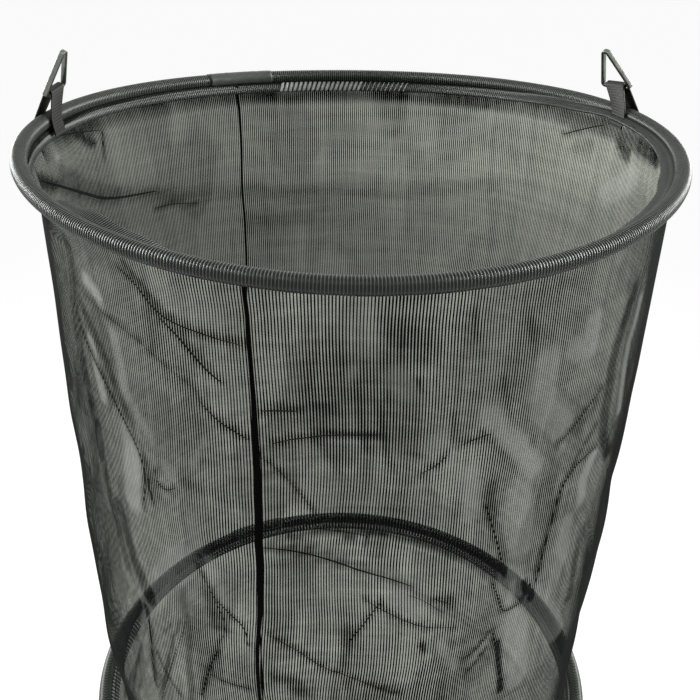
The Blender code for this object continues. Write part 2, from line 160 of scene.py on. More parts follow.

# %% [markdown]
# The net hangs in front of plain paper. The paper shows white wherever the camera sees it
# directly, but between the threads of the mesh it is painted a greyer tone, a painted shade
# for the dim inside of the net. Light Path tells them apart, because a ray that has passed
# through a wall of the net has a transparent depth above zero. Through one wall this painted
# shade is darker near the net and on the left, and through two it is lighter, painted as if
# the near wall kept stray light off the camera's side of the net.

# %% The paper's colour
PAPER_WHITE = linear("#ffffff")
PAPER_TINT = linear("#fbfff1")
NEAR_PAINTED_SHADE, FAR_PAINTED_SHADE, TWO_WALL_PAINTED_SHADE = 0.25, 0.38, 0.61
NEAR_PAPER, FAR_PAPER = 4.2, 5.4
SIDE_SLOPE, SIDE_CURVE, SIDE_LIMIT = 1.5, 4.5, 0.4


def shows_paper(tree, path):
    """A node that is 1 for rays that see white paper: the camera's, and gloss and glass."""
    direct = add(
        tree, MATH, (path.outputs["Is Camera Ray"], path.outputs["Is Glossy Ray"]),
        operation="MAXIMUM",
    )
    return add(tree, MATH, (direct, path.outputs["Is Transmission Ray"]), operation="MAXIMUM")


def paper_seen(tree):
    """Whether a ray shows the paper, and its colour, painted darker behind the net's walls."""
    path = add(tree, "ShaderNodeLightPath")
    place = add(tree, "ShaderNodeNewGeometry")
    where = add(tree, "ShaderNodeSeparateXYZ", (place.outputs["Position"],))
    ahead = add(tree, MATH, (where.outputs["Y"], CAMERA_PLACE.y), operation="SUBTRACT")
    ahead = add(tree, MATH, (ahead, 1.0), operation="MAXIMUM")
    slope = add(tree, MATH, (where.outputs["X"], ahead), operation="DIVIDE")
    slope = add(tree, MATH, (slope, -SIDE_LIMIT), operation="MAXIMUM")
    slope = add(tree, MATH, (slope, SIDE_LIMIT), operation="MINIMUM")
    bow = add(tree, MATH, (slope, SIDE_CURVE, SIDE_SLOPE), operation="MULTIPLY_ADD")
    sloped = add(tree, MATH, (slope, bow, 1.0), operation="MULTIPLY_ADD")
    # Painted shade: the paper seen through one wall is darkened by place, and through two by a fixed tone.
    one_wall = add(
        tree, SPREAD,
        {"Value": where.outputs["Y"], "From Min": NEAR_PAPER, "From Max": FAR_PAPER,
         "To Min": NEAR_PAINTED_SHADE, "To Max": FAR_PAINTED_SHADE}, interpolation_type="SMOOTHSTEP",
    )
    one_tone = add(tree, MATH, (one_wall, sloped), operation="MULTIPLY")
    walls = path.outputs["Transparent Depth"]
    any_wall = add(tree, MATH, (walls, 0.5), operation="GREATER_THAN")
    two_walls = add(tree, MATH, (walls, 1.5), operation="GREATER_THAN")
    tone = add(tree, MIX, {"Factor": two_walls, "A": one_tone, "B": TWO_WALL_PAINTED_SHADE})
    tint = add(
        tree, "ShaderNodeVectorMath", {0: PAPER_TINT[:3], "Scale": tone}, operation="SCALE"
    )
    colour = add(tree, MIX, {0: any_wall, 6: PAPER_WHITE, 7: tint}, data_type="RGBA")
    return shows_paper(tree, path), colour.outputs[2]


print("paper tones between threads", NEAR_PAINTED_SHADE, FAR_PAINTED_SHADE, TWO_WALL_PAINTED_SHADE)

# %% [markdown]
# The floor lies just under the closed bottom of the net and carries its soft shadow. It is a
# dim diffuse sheet, so that it throws little light up at the net, with enough emission added
# for the camera to reach white.

# %% The floor
FLOOR_SIZE = 60.0
FLOOR_GAP = 0.0005
FLOOR_DIFFUSE = 0.17
FLOOR_GLOW = 0.94

floor_mesh = bmesh.new()
bmesh.ops.create_grid(floor_mesh, x_segments=1, y_segments=1, size=FLOOR_SIZE / 2)
bmesh.ops.translate(floor_mesh, verts=floor_mesh.verts, vec=(0, 0, cad_box[0][2] - FLOOR_GAP))
floor_data = bpy.data.meshes.new("floor")
floor_mesh.to_mesh(floor_data)
floor_mesh.free()
floor = bpy.data.objects.new("floor", floor_data)
bpy.context.scene.collection.objects.link(floor)

paper, tree = new_material("matt_paper")
seen, colour = paper_seen(tree)
strength = add(tree, MATH, (seen, FLOOR_GLOW), operation="MULTIPLY")
glow = add(tree, "ShaderNodeEmission", {"Color": colour, "Strength": strength})
shade = add(tree, MIX, {0: FLOOR_DIFFUSE, 6: linear("#000000"), 7: colour}, data_type="RGBA")
matt = add(tree, "ShaderNodeBsdfDiffuse", {"Color": shade.outputs[2]})
both = add(tree, "ShaderNodeAddShader", (glow, matt))
add(tree, "ShaderNodeOutputMaterial", {"Surface": both})
floor_data.materials.append(paper)
print("floor at", round(cad_box[0][2] - FLOOR_GAP, 4))

# %% [markdown]
# Two large soft boxes stand at the sides, a little behind the net, so that the ribs of the
# tape glint at the left and right of each hoop and stay black at its front and back. A weak
# third box hangs high in front. It reaches over the near rim and lights the stitches at the
# back. A dim dome fills the rest.

# %% The dome and the soft boxes
DOME_TOP, DOME_BOTTOM = 0.13, 0.05
DOME_HIGH, DOME_LOW = 0.9, -0.5
AIM = Vector((0, 0, -0.1))
SOFT_BOXES = (  # name, place, width and watts
    ("left_box", (-2.30, 0.85, 0.50), 1.1, 108),
    ("right_box", (2.30, 0.85, 0.50), 1.1, 100),
    ("front_fill", (0.2, -1.9, 2.3), 1.2, 22),
)

world = bpy.data.worlds.new("studio")
bpy.context.scene.world = world
world.use_nodes = True
tree = world.node_tree
tree.nodes.clear()
path = add(tree, "ShaderNodeLightPath")
direction = add(tree, "ShaderNodeTexCoord")
height = add(tree, "ShaderNodeSeparateXYZ", (direction.outputs["Generated"],))
level = add(
    tree, SPREAD,
    {"Value": height.outputs["Z"], "From Min": DOME_LOW, "From Max": DOME_HIGH,
     "To Min": DOME_BOTTOM, "To Max": DOME_TOP},
)
lit = add(tree, "ShaderNodeBackground", {"Strength": level})
shown = add(tree, "ShaderNodeBackground", {"Color": PAPER_WHITE})
chosen = add(tree, "ShaderNodeMixShader", (shows_paper(tree, path), lit, shown))
add(tree, "ShaderNodeOutputWorld", {"Surface": chosen})

for name, place, width, watts in SOFT_BOXES:
    data = bpy.data.lights.new(name, "AREA")
    data.size = width
    data.energy = watts
    lamp = bpy.data.objects.new(name, data)
    turn = (AIM - Vector(place)).to_track_quat("-Z", "Y").to_matrix().to_4x4()
    lamp.matrix_world = Matrix.Translation(place) @ turn
    bpy.context.scene.collection.objects.link(lamp)

# %% [markdown]
# Every hoop is a rod wrapped in tape. The frame tells where the rods are, so the heights are
# read from their boxes. The top hoop isn't flat: hung by two rings, it bends up at them and
# down between, like a saddle.

# %% The hoops' sizes
HOOPS = ("top_hoop", "second_hoop", "third_hoop", "base_hoop")
SECTIONS = ("upper_net", "middle_net", "lower_net")
HOOP_RADIUS = 0.250
TAPE_RADIUS = 0.00587
SADDLE = 0.0058
SADDLE_AZIMUTH = math.radians(6.1)
BACK_SEAM = math.radians(117)
FRONT_SEAM = math.radians(255.9)

heights = []
for hoop in HOOPS:
    low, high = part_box(f"{hoop}_rod")
    heights.append((low.z + high.z) / 2)
print("hoops at", [round(h, 3) for h in heights])


def hoop_sag(hoop, azimuth):
    """How far a hoop is bent up or down at an azimuth."""
    return SADDLE * math.cos(2 * (azimuth - SADDLE_AZIMUTH)) if hoop == 0 else 0.0


def polar(radius, azimuth, height):
    """A point at a radius, azimuth and height."""
    return Vector((radius * math.cos(azimuth), radius * math.sin(azimuth), height))


def eased(table, x):
    """A value read from (place, value) pairs, with smooth steps between them."""
    for (x0, y0), (x1, y1) in zip(table, table[1:]):
        if x <= x1:
            share = max(0.0, (x - x0) / (x1 - x0))
            return y0 + (y1 - y0) * share * share * (3 - 2 * share)
    return table[-1][1]


# %% [markdown]
# Nearly everything on this net is a band that runs round a hoop, so it starts as a flat grid:
# X runs round the hoop and Y along the band. Before the grid is bent, each vertex is numbered
# by its column and row in two integer layers, and a UV map is laid out in real metres. So a
# weave stays the right size and follows the cloth however it is bent.

# %% Flat bands
def flat_band(columns, column_width, lengths):
    """A grid of columns round a hoop by one row for each length, with UVs in metres."""
    mesh = bmesh.new()
    rows = len(lengths) - 1
    bmesh.ops.create_grid(mesh, x_segments=columns, y_segments=rows, size=0.5)
    column_of = mesh.verts.layers.int.new("column")
    row_of = mesh.verts.layers.int.new("row")
    for vertex in mesh.verts:
        vertex[column_of] = round((vertex.co.x + 0.5) * columns)
        vertex[row_of] = round((vertex.co.y + 0.5) * rows)
    uv = mesh.loops.layers.uv.new("cloth")
    for face in mesh.faces:
        for loop in face.loops:
            loop[uv].uv = (loop.vert[column_of] * column_width, lengths[loop.vert[row_of]])
    return mesh, column_of, row_of


def joined(mesh):
    """Merge the edges of a band that has been bent into a closed shape."""
    bmesh.ops.remove_doubles(mesh, verts=mesh.verts, dist=0.000001)
    bmesh.ops.recalc_face_normals(mesh, faces=mesh.faces)
    return mesh


def finished(name, mesh, material, body, replaced=()):
    """Turn a bmesh into a smooth piece that rides on a body and stands for its solids."""
    data = bpy.data.meshes.new(name)
    mesh.to_mesh(data)
    mesh.free()
    data.shade_smooth()
    data.materials.append(material)
    piece = bpy.data.objects.new(name, data)
    bpy.context.scene.collection.objects.link(piece)
    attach(piece, body)
    if replaced:
        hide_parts(*replaced)
    return piece


def shape_with(piece, name, kind, **settings):
    """Give a piece a modifier with its settings."""
    made = piece.modifiers.new(name, kind)
    for setting, value in settings.items():
        setattr(made, setting, value)


print("bands are laid out flat before they are bent")

# %% [markdown]
# The tape is a woven ribbon folded round the rod, and both its edges are sewn into a flange.
# It is a grosgrain: thick weft threads cross it as round ribs, 2.1 mm apart. Half a
# millimetre high, they are part of the outline, so they are modelled: each rib has four
# columns of points, its crest, the groove beside it and a shoulder on each side of that. The
# flange doesn't point the same way all round. It hangs down at the back, lies nearly level at
# the right and front, and is pulled up in a short wavy stretch at the left.

# %% The ribbed tape's section
RIB_PITCH = 0.0021
RIB_HEIGHT = 0.00052
RIB_COLUMNS = 4
RIB_LIFT_SHARES = (0.5, 0.38, -0.5, 0.38)
FLANGE_LENGTH = 0.0090
FLANGE_HALF = 0.0010
ARC_POINTS = 17
RIBS = round(math.tau * HOOP_RADIUS / RIB_PITCH)
TOP_DROPS = [
    (0, 6), (20, 9), (36, 30), (55, 50), (90, 57), (122, 57), (150, 60), (170, 64), (190, 64),
    (204, 58), (212, 40), (219, 4), (228, -18), (236, -6), (246, 14), (258, 24), (300, 24),
    (330, 16), (360, 6),
]
LOWER_DROP = 30


def flange_drop(hoop, azimuth):
    """How far the flange points below the horizontal."""
    turn = math.degrees(azimuth) % 360
    return math.radians(eased(TOP_DROPS, turn) if hoop == 0 else LOWER_DROP)


def tape_section():
    """Points and outward normals of the tape's section, with its flange pointing inward."""
    root = math.pi - math.asin(FLANGE_HALF / TAPE_RADIUS)
    turns = [root - 2 * root * step / (ARC_POINTS - 1) for step in range(ARC_POINTS)]
    arc = [(Vector((math.cos(a), math.sin(a))) * TAPE_RADIUS, Vector((math.cos(a), math.sin(a))))
           for a in turns]
    reach = TAPE_RADIUS + FLANGE_LENGTH
    middle = TAPE_RADIUS + FLANGE_LENGTH / 2
    down, up, inward = Vector((0, -1)), Vector((0, 1)), Vector((-1, 0))
    legs = [
        (Vector((-middle, -FLANGE_HALF)), down),
        (Vector((-reach, -FLANGE_HALF)), down),
        (Vector((-reach - FLANGE_HALF / 2, 0)), inward),
        (Vector((-reach, FLANGE_HALF)), up),
        (Vector((-middle, FLANGE_HALF)), up),
    ]
    return arc + legs


def on_hoop(hoop, azimuth, point):
    """Where a point of the section lies on a hoop, turned with the flange about the rod."""
    out, up = Matrix.Rotation(flange_drop(hoop, azimuth), 2) @ point
    return polar(HOOP_RADIUS + out, azimuth, heights[hoop] + hoop_sag(hoop, azimuth) + up)


def section_lengths(points):
    """Distances along the section of each of its points, back to the first one."""
    lengths = [0.0]
    for (here, _), (there, _) in zip(points, points[1:] + points[:1]):
        lengths.append(lengths[-1] + (there - here).length)
    return lengths


section = tape_section()
around = section_lengths(section)
flange_roots = (0.0, around[ARC_POINTS - 1], around[-1])
print(RIBS, "ribs, section of", len(section), "points")

# %% [markdown]
# The ribs' crests are painted light grey on a black ground, a painted sheen that stands for
# their glint, and that contrast is what the eye sees first on the near rim. So the colour
# follows the same 2.1 mm pitch as the shape, read from the UV map. A finer wave across it
# stands for the warp threads, which are 0.5 mm apart on the real ribbon and drawn at 0.6 mm,
# so that they show. At the root of the flange, above and below it, the tape is folded
# sharply, and a line along the ribbon is painted black there, a painted shade in the fold.

# %% The woven ribbon material
WARP_PITCH = 0.0006
WARP_SHADE = 0.72
SHADED_FOLD_HALF = 0.0009
SHADED_FOLD_REACH = 2.4  # half widths of a groove at which the ribs are back at full strength
WEAR_SIZE = 0.035


def woven_ribbon(name, ground, crest, roughness, rib_share, rib_pitch, shaded_folds=()):
    """A polyester grosgrain: satin ribs on a dark ground, with fine warp threads across."""
    material, tree = new_material(name)
    cloth = add(tree, "ShaderNodeUVMap", uv_map="cloth")
    place = add(tree, "ShaderNodeSeparateXYZ", (cloth,))
    count = add(tree, MATH, (place.outputs["X"], math.tau / rib_pitch), operation="MULTIPLY")
    rib_wave = add(tree, MATH, (count,), operation="COSINE")
    rib = add(
        tree, SPREAD, {"Value": rib_wave, "From Min": 1 - 2 * rib_share, "From Max": 1.0},
        interpolation_type="SMOOTHSTEP",
    )
    warp = add(tree, MATH, (place.outputs["Y"], math.tau / WARP_PITCH), operation="MULTIPLY")
    warp_wave = add(tree, MATH, (warp,), operation="SINE")
    warp_shade = add(
        tree, SPREAD,
        {"Value": warp_wave, "From Min": -1.0, "To Min": WARP_SHADE, "To Max": 1.0},
    )
    wear = add(tree, NOISE, {"Vector": cloth, "Scale": 1 / WEAR_SIZE, "Detail": 3.0})
    worn = add(
        tree, SPREAD,
        {"Value": wear, "From Min": 0.3, "From Max": 0.7, "To Min": 0.7, "To Max": 1.0},
    )
    shown = add(tree, MATH, (rib, warp_shade), operation="MULTIPLY")
    shown = add(tree, MATH, (shown, worn), operation="MULTIPLY")
    # Painted shade: the ribs fade to the black ground along each fold of the flange.
    for shaded_fold in shaded_folds:
        off = add(tree, MATH, (place.outputs["Y"], shaded_fold), operation="SUBTRACT")
        away = add(tree, MATH, (off,), operation="ABSOLUTE")
        clear = add(
            tree, SPREAD,
            {"Value": away, "From Min": SHADED_FOLD_HALF, "From Max": SHADED_FOLD_REACH * SHADED_FOLD_HALF},
        )
        shown = add(tree, MATH, (shown, clear), operation="MULTIPLY")
    bump = add(tree, "ShaderNodeBump", {"Height": shown, "Strength": 0.5, "Distance": 0.0002})
    two_toned(
        tree, shown, ground, crest, Roughness=roughness, Normal=bump, Specular_IOR_Level=0.26
    )
    return material


# The crest colour of this tape is a painted sheen; its ground is the tape's own black.
ribbon = woven_ribbon("black_grosgrain", "#020302", "#8a908a", 0.30, 0.31, RIB_PITCH, flange_roots)
print(ribbon.name, "with a black fold at", [round(y * 1000, 1) for y in flange_roots], "mm")

# %% [markdown]
# Wrapping a hoop is now a matter of bending a flat band: its rows follow the section, and its
# columns run round the hoop and rise and fall with the ribs.

# %% Wrap the four hoops
for hoop, hoop_name in enumerate(HOOPS):
    steps = RIBS * RIB_COLUMNS
    mesh, column_of, row_of = flat_band(steps, RIB_PITCH / RIB_COLUMNS, around)
    for vertex in mesh.verts:
        azimuth = math.tau * (vertex[column_of] % steps) / steps
        point, normal = section[vertex[row_of] % len(section)]
        lift_share = RIB_LIFT_SHARES[vertex[column_of] % RIB_COLUMNS]
        vertex.co = on_hoop(hoop, azimuth, point + normal * RIB_HEIGHT * lift_share)
    finished(
        f"{hoop_name}_ribbed_tape", joined(mesh), ribbon, hoop_name, [f"{hoop_name}_tape"]
    )
    print(hoop_name, "wrapped")

# %% [markdown]
# Where the ribbon's two ends meet, at the back, a short wrap of smoother tape covers the
# join. It is a plain woven tape with a light satin face, a little creased where it was pulled
# round.

# %% The wrap over the join
LAP_TURN = math.radians(15)
LAP_STEPS = 40
LAP_POINTS = 20
LAP_RADIUS = TAPE_RADIUS + 0.0009
LAP_THICKNESS = 0.0006
LAP_CREASE = 0.00025
LAP_OPENING = FLANGE_HALF * 1.6

lap_tape = woven_ribbon("satin_binding_tape", "#2b2e2b", "#8b8f8a", 0.36, 0.9, 0.0012)
for hoop, hoop_name in enumerate(HOOPS):
    open_half = math.asin(LAP_OPENING / LAP_RADIUS)
    first = math.pi + open_half
    turns = [first + (math.tau - 2 * open_half) * k / (LAP_POINTS - 1) for k in range(LAP_POINTS)]
    start = BACK_SEAM - LAP_TURN / 2
    lengths = [LAP_RADIUS * (turn - first) for turn in turns]
    mesh, column_of, row_of = flat_band(LAP_STEPS, LAP_TURN * HOOP_RADIUS / LAP_STEPS, lengths)
    for vertex in mesh.verts:
        azimuth = start + LAP_TURN * vertex[column_of] / LAP_STEPS
        turn = turns[vertex[row_of]]
        crease = noise.noise(Vector((azimuth * 90, turn * 1.5, hoop * 7.0)))
        point = Vector((math.cos(turn), math.sin(turn))) * (LAP_RADIUS + LAP_CREASE * crease)
        vertex.co = on_hoop(hoop, azimuth, point)
    bmesh.ops.recalc_face_normals(mesh, faces=mesh.faces)
    lap = finished(
        f"{hoop_name}_join_wrap", mesh, lap_tape, hoop_name, [f"{hoop_name}_lap"]
    )
    shape_with(lap, "wall", "SOLIDIFY", thickness=LAP_THICKNESS, offset=-1)
print("four joins wrapped")

# %% [markdown]
# The rod and its ferrule are hidden inside the tape, but they would show if the tape were cut
# open, so their solids keep their shape and get real finishes: a pultruded glass-fibre rod,
# with fibres along it, and a drawn aluminium tube.

# %% The rod and the ferrule
def streaked(name, dark, light, roughness, metallic, scale):
    """A finish with fine streaks, for drawn or pultruded stock."""
    material, tree = new_material(name)
    place = add(tree, "ShaderNodeTexCoord")
    streak = add(
        tree, NOISE, {"Vector": place.outputs["Object"], "Scale": 1 / scale, "Detail": 4.0}
    )
    rough = add(
        tree, SPREAD, {"Value": streak, "To Min": roughness - 0.08, "To Max": roughness + 0.08}
    )
    two_toned(tree, streak, dark, light, Roughness=rough, Metallic=metallic)
    return material


glass_fibre = streaked("pultruded_glass_fibre", "#4a4a44", "#66665e", 0.45, 0.0, 0.0008)
drawn_aluminium = streaked("drawn_aluminium", "#a9a9a6", "#c4c4c1", 0.35, 1.0, 0.0005)
for hoop_name in HOOPS:
    for part, material in (("rod", glass_fibre), ("ferrule", drawn_aluminium)):
        node = frame["nodes"][f"{hoop_name}_{part}"]
        node.data.materials.clear()
        node.data.materials.append(material)
print("rods and ferrules finished")

# %% [markdown]
# The mesh is a warp-knitted polyester. Its wales are upright chains of thread 2.1 mm apart,
# and fine threads zigzag between them. Thousands of real threads would be too heavy, so each
# wall is one sheet with a ridge for every wale and a valley between, and the holes in the
# valleys come from Alpha, in a pattern that repeats at the same pitch in the UV map. The
# ridges matter: seen at a slant they cover the holes behind them, which is why real mesh
# turns dark towards the edge of a round net. A shade value narrows the holes in some places,
# which darkens the cloth, and widens them in others. Part of it is noise, in long streaks
# along the wales, and in crumpled facets whose patches are painted lighter and darker as
# painted light and shade. Part is painted shade, laid on the cloth as an attribute. Below
# zero it paints the threads light grey, a painted highlight where a facet would catch the
# light. A wall that is seen through another one is out of focus in the photograph, and crisp
# holes there would beat against the nearer ones, so such a ray sees the wall's average cover
# instead of its holes.

# %% The knitted mesh
WALE_PITCH = 0.0021
WALE_RELIEF = 0.00045
CROSS_PITCH = 0.00105
HOLE_WIDTH_SHARE = 0.54
HOLE_HEIGHT_SHARE = 0.90
HOLE_SQUARENESS = 4.0
LEAST_HOLE = 0.03
STREAK_SIZE = (0.007, 0.110)
CREASE_STREAK_SIZE = (0.090, 0.009)
STREAK_DEPTH = 0.55
FACET_SIZE = (0.040, 0.085)
FACET_BEND_SIZE = 0.05
FACET_BEND = 0.030
FACET_DEPTH = 0.75
GLEAM_TONE = "#dfe4e0"
GLEAM_COVER = 0.20


def hole_measure(tree, value, width_share):
    """How far across a hole a place is, 0 in its middle and 1 at its rim, to a power."""
    part = add(tree, MATH, (value,), operation="FRACT")
    off = add(tree, MATH, (part, 0.5), operation="SUBTRACT")
    across = add(tree, MATH, (off,), operation="ABSOLUTE")
    whole = add(tree, MATH, (across, 2.0), operation="MULTIPLY")
    scaled = add(tree, MATH, (whole, width_share), operation="DIVIDE")
    return add(tree, MATH, (scaled, HOLE_SQUARENESS), operation="POWER")


def streaks(tree, cloth, size):
    """Noise from -0.5 to 0.5 that is drawn out along one way of the cloth."""
    stretched = add(
        tree, "ShaderNodeVectorMath", (cloth, (1 / size[0], 1 / size[1], 0.0)),
        operation="MULTIPLY",
    )
    wave = add(tree, NOISE, {"Vector": stretched, "Scale": 1.0, "Detail": 2.0})
    return add(tree, MATH, (wave, 0.5), operation="SUBTRACT")


def facets(tree, cloth):
    """The same value all over each crumpled facet: painted shade above zero, light below it."""
    bend = add(tree, NOISE, {"Vector": cloth, "Scale": 1 / FACET_BEND_SIZE, "Detail": 1.0})
    bent = add(
        tree, "ShaderNodeVectorMath",
        (bend.outputs["Color"], (FACET_BEND, FACET_BEND, 0.0), cloth), operation="MULTIPLY_ADD",
    )
    sized = add(
        tree, "ShaderNodeVectorMath", (bent, (1 / FACET_SIZE[0], 1 / FACET_SIZE[1], 0.0)),
        operation="MULTIPLY",
    )
    cell = add(
        tree, "ShaderNodeTexVoronoi", {"Vector": sized, "Scale": 1.0, "Smoothness": 0.3},
        feature="SMOOTH_F1",
    )
    shade = add(tree, "ShaderNodeSeparateColor", (cell.outputs["Color"],))
    off = add(tree, MATH, (shade, 0.5), operation="SUBTRACT")
    return add(tree, MATH, (off, FACET_DEPTH), operation="MULTIPLY")


def knitted_mesh(name, dark, light, hole_width):
    """A dull dark mesh of polyester thread, open between its wales."""
    material, tree = new_material(name)
    cloth = add(tree, "ShaderNodeUVMap", uv_map="cloth")
    place = add(tree, "ShaderNodeSeparateXYZ", (cloth,))
    # The laid value: painted shade above zero, painted highlight below it.
    laid = add(tree, "ShaderNodeAttribute", attribute_name="shade_and_gleam").outputs["Fac"]
    shaded = add(tree, MATH, (laid, 0.0), operation="MAXIMUM")
    opened = add(tree, MATH, (laid, -1.0), operation="MULTIPLY")
    gleam = add(tree, MATH, (opened, 0.0), operation="MAXIMUM")
    uneven = add(
        tree, MATH,
        (streaks(tree, cloth, STREAK_SIZE), streaks(tree, cloth, CREASE_STREAK_SIZE)),
        operation="ADD",
    )
    uneven = add(tree, MATH, (uneven, facets(tree, cloth)), operation="ADD")
    closing = add(tree, MATH, (gleam, GLEAM_COVER, shaded), operation="MULTIPLY_ADD")
    closing = add(tree, MATH, (uneven, STREAK_DEPTH, closing), operation="MULTIPLY_ADD")
    width = add(tree, MATH, (closing, -hole_width, hole_width), operation="MULTIPLY_ADD")
    width = add(tree, MATH, (width, LEAST_HOLE), operation="MAXIMUM")
    wales = add(tree, MATH, (place.outputs["X"], WALE_PITCH), operation="DIVIDE")
    wale = add(tree, MATH, (wales,), operation="FLOOR")
    stagger = add(tree, MATH, (wale, 0.5), operation="MULTIPLY")
    rows = add(
        tree, MATH, (place.outputs["Y"], 1 / CROSS_PITCH, stagger), operation="MULTIPLY_ADD"
    )
    across = hole_measure(tree, wales, width)
    along = hole_measure(tree, rows, HOLE_HEIGHT_SHARE)
    out = add(tree, MATH, (across, along), operation="ADD")
    thread = add(tree, MATH, (out, 1.0), operation="GREATER_THAN")
    walls = add(tree, "ShaderNodeLightPath").outputs["Transparent Depth"]
    behind = add(tree, MATH, (walls, 0.5), operation="GREATER_THAN")
    cover = add(tree, MATH, (width, -HOLE_HEIGHT_SHARE, 1.0), operation="MULTIPLY_ADD")
    solid = add(tree, MIX, {"Factor": behind, "A": thread, "B": cover})
    blend = add(tree, MATH, (uneven, 0.5), operation="ADD")
    tone = add(tree, MIX, {0: blend, 6: linear(dark), 7: linear(light)}, data_type="RGBA")
    # Painted highlight: where the shade value is below zero the threads are painted light grey.
    gleaming = {0: gleam, 6: tone.outputs[2], 7: linear(GLEAM_TONE)}
    tone = add(tree, MIX, gleaming, data_type="RGBA")
    shader = add(
        tree, "ShaderNodeBsdfPrincipled",
        {"Base Color": tone.outputs[2], "Roughness": 0.8, "Alpha": solid,
         "Specular IOR Level": 0.04},
    )
    add(tree, "ShaderNodeOutputMaterial", {"Surface": shader})
    return material


mesh_cloth = knitted_mesh("knitted_polyester_mesh", "#080908", "#141615", HOLE_WIDTH_SHARE)
doubled_mesh = knitted_mesh("doubled_polyester_mesh", "#191b19", "#282b28", 0.08)
bpy.context.scene.cycles.transparent_max_bounces = 32
print("hole", round(WALE_PITCH * HOLE_WIDTH_SHARE * 1000, 2), "mm wide")

# %% [markdown]
# How the wall hangs matters more than its threads. It starts where the tape's flange is sewn
# to it, draws in towards the next hoop, and is pinched just above it. The two sides hang
# differently, so each has its own table of (share of the way down, radius), and a cosine goes
# from one to the other round the net.

# %% The hang of the wall
WALL_DROP = 0.5730
LEFT_WALL = [
    (0, 0.2448), (0.05, 0.2392), (0.5, 0.2362), (0.78, 0.2345), (0.93, 0.2255), (1, 0.2395),
]
RIGHT_WALL = [
    (0, 0.2448), (0.05, 0.2450), (0.45, 0.2430), (0.75, 0.2355), (0.93, 0.2325), (1, 0.2395),
]
WALL_TOP = 0.0055
HEM_LIFT = 0.0045


def wall_radius(azimuth, share):
    """Radius of the smooth wall, before any fold."""
    right = (1 + math.cos(azimuth)) / 2
    return eased(RIGHT_WALL, share) * right + eased(LEFT_WALL, share) * (1 - right)


def wall_height(section, azimuth, share):
    """Height of the wall between a hoop and the next one down."""
    top = heights[section] + hoop_sag(section, azimuth) - WALL_TOP
    hem = heights[section + 1] + HEM_LIFT
    return top + (hem - top) * share


print("wall", round(wall_height(0, 0, 0) - wall_height(0, 0, 1), 3), "m high")

# %% [markdown]
# Two kinds of fold lie on that wall. Nine broad waves run round it and lean on their way
# down. Sharp creases are lines along which the cloth was folded in its bag: each is a narrow
# pleat, where the cloth lies double. The ones that the photograph shows are listed, with
# their width in millimetres, as azimuths in degrees and drops below the hoop in millimetres.
# Between them lie shades: patches of painted shade, where the holes are closed, which darkens
# the cloth, and of painted highlight, where the amount is below zero and the threads are
# painted light. Each has half its width in millimetres, its amount and its line.

# %% Waves and creases
FOLD_DEPTH = 0.0022
FOLD_COUNT = 9
FOLD_TURN = math.radians(100)
SECTION_TURN = 74  # degrees by which the next section's creases are turned
CREASES = [
    (4.0, [(217.9, 70), (220.2, 94), (223.7, 112), (229.5, 147), (232.6, 163), (234.5, 182),
           (233.8, 198), (232.6, 215)]),
    (2.2, [(237.1, 174), (237.3, 184), (239.5, 187), (241.5, 181)]),
    (6.0, [(234.9, 184), (235.2, 196), (235.8, 207)]),
    (2.8, [(233.7, 21), (236.8, 29), (239.5, 41), (242.6, 47), (248.2, 49), (255.0, 51)]),
    (3.8, [(240.9, 47), (244.3, 56), (247.3, 68), (249.5, 76), (251.5, 81)]),
    (2.6, [(247.6, 100), (250.4, 111), (252.8, 116), (255.1, 121)]),
    (0.8, [(220.4, 56), (227.2, 64), (235.6, 70), (241.5, 82), (246.9, 91)]),
    (2.8, [(257.3, 97), (260.0, 95), (262.8, 94)]),
    (2.4, [(258.6, 122), (261.2, 117), (263.1, 115), (267.7, 110), (275.2, 109)]),
    (0.9, [(256.3, 132), (258.5, 138), (261.4, 152), (265.4, 177)]),
    (2.0, [(281.7, 141), (284.0, 136), (285.8, 128)]),
    (2.0, [(287.8, 122), (291.1, 118), (292.8, 118)]),
    (2.4, [(317.0, 120), (313.2, 131), (310.3, 143), (307.5, 148)]),
    (3.4, [(318.6, 174), (313.6, 180), (310.8, 192), (309.7, 208), (308.7, 253), (306.7, 294)]),
    (2.6, [(293.5, 178), (295.3, 202), (297.7, 233), (299.3, 254)]),
    (2.2, [(296.2, 256), (298.4, 277), (300.0, 295), (302.8, 295), (304.6, 291)]),
    (4.2, [(306.0, 277), (306.3, 281), (306.5, 285)]),
    (2.6, [(292.2, 326), (294.2, 325), (296.1, 317), (298.0, 310)]),
    (1.4, [(293.0, 347), (294.9, 340), (297.6, 328)]),
    (3.4, [(298.6, 313), (300.3, 337), (301.6, 358), (303.1, 391)]),
    (2.0, [(270.7, 305), (270.8, 293), (273.1, 278), (275.0, 263), (276.6, 253)]),
    (1.6, [(274.0, 252), (276.0, 259), (279.2, 269), (283.5, 282), (289.1, 288)]),
    (1.8, [(284.9, 255), (286.8, 260), (287.9, 264)]),
    (1.8, [(256.9, 296), (262.7, 310), (266.3, 324), (270.8, 330), (280.7, 352)]),
    (1.4, [(244.1, 245), (246.6, 267), (248.6, 285), (249.4, 302), (247.8, 317)]),
    (2.8, [(247.5, 272), (250.2, 283), (252.8, 293), (253.4, 312)]),
    (3.0, [(229.2, 328), (229.9, 345), (229.2, 375), (227.8, 418)]),
    (1.5, [(230.9, 370), (232.7, 389), (236.4, 406)]),
    (2.4, [(247.7, 324), (244.2, 356), (242.0, 387)]),
    (2.0, [(244.6, 357), (248.5, 360), (252.8, 360)]),
    (2.8, [(36.0, 34), (29.5, 22), (24.4, 14)]),
    (2.8, [(172.0, 14), (166.4, 18), (157.3, 24)]),
    (2.2, [(156.6, 21), (157.5, 35), (157.7, 47)]),
    (7.0, [(189.9, 27), (176.2, 51), (165.7, 72), (159.0, 86), (151.4, 93), (142.4, 97)]),
    (2.4, [(143.4, 114), (138.5, 114), (130.4, 120)]),
]
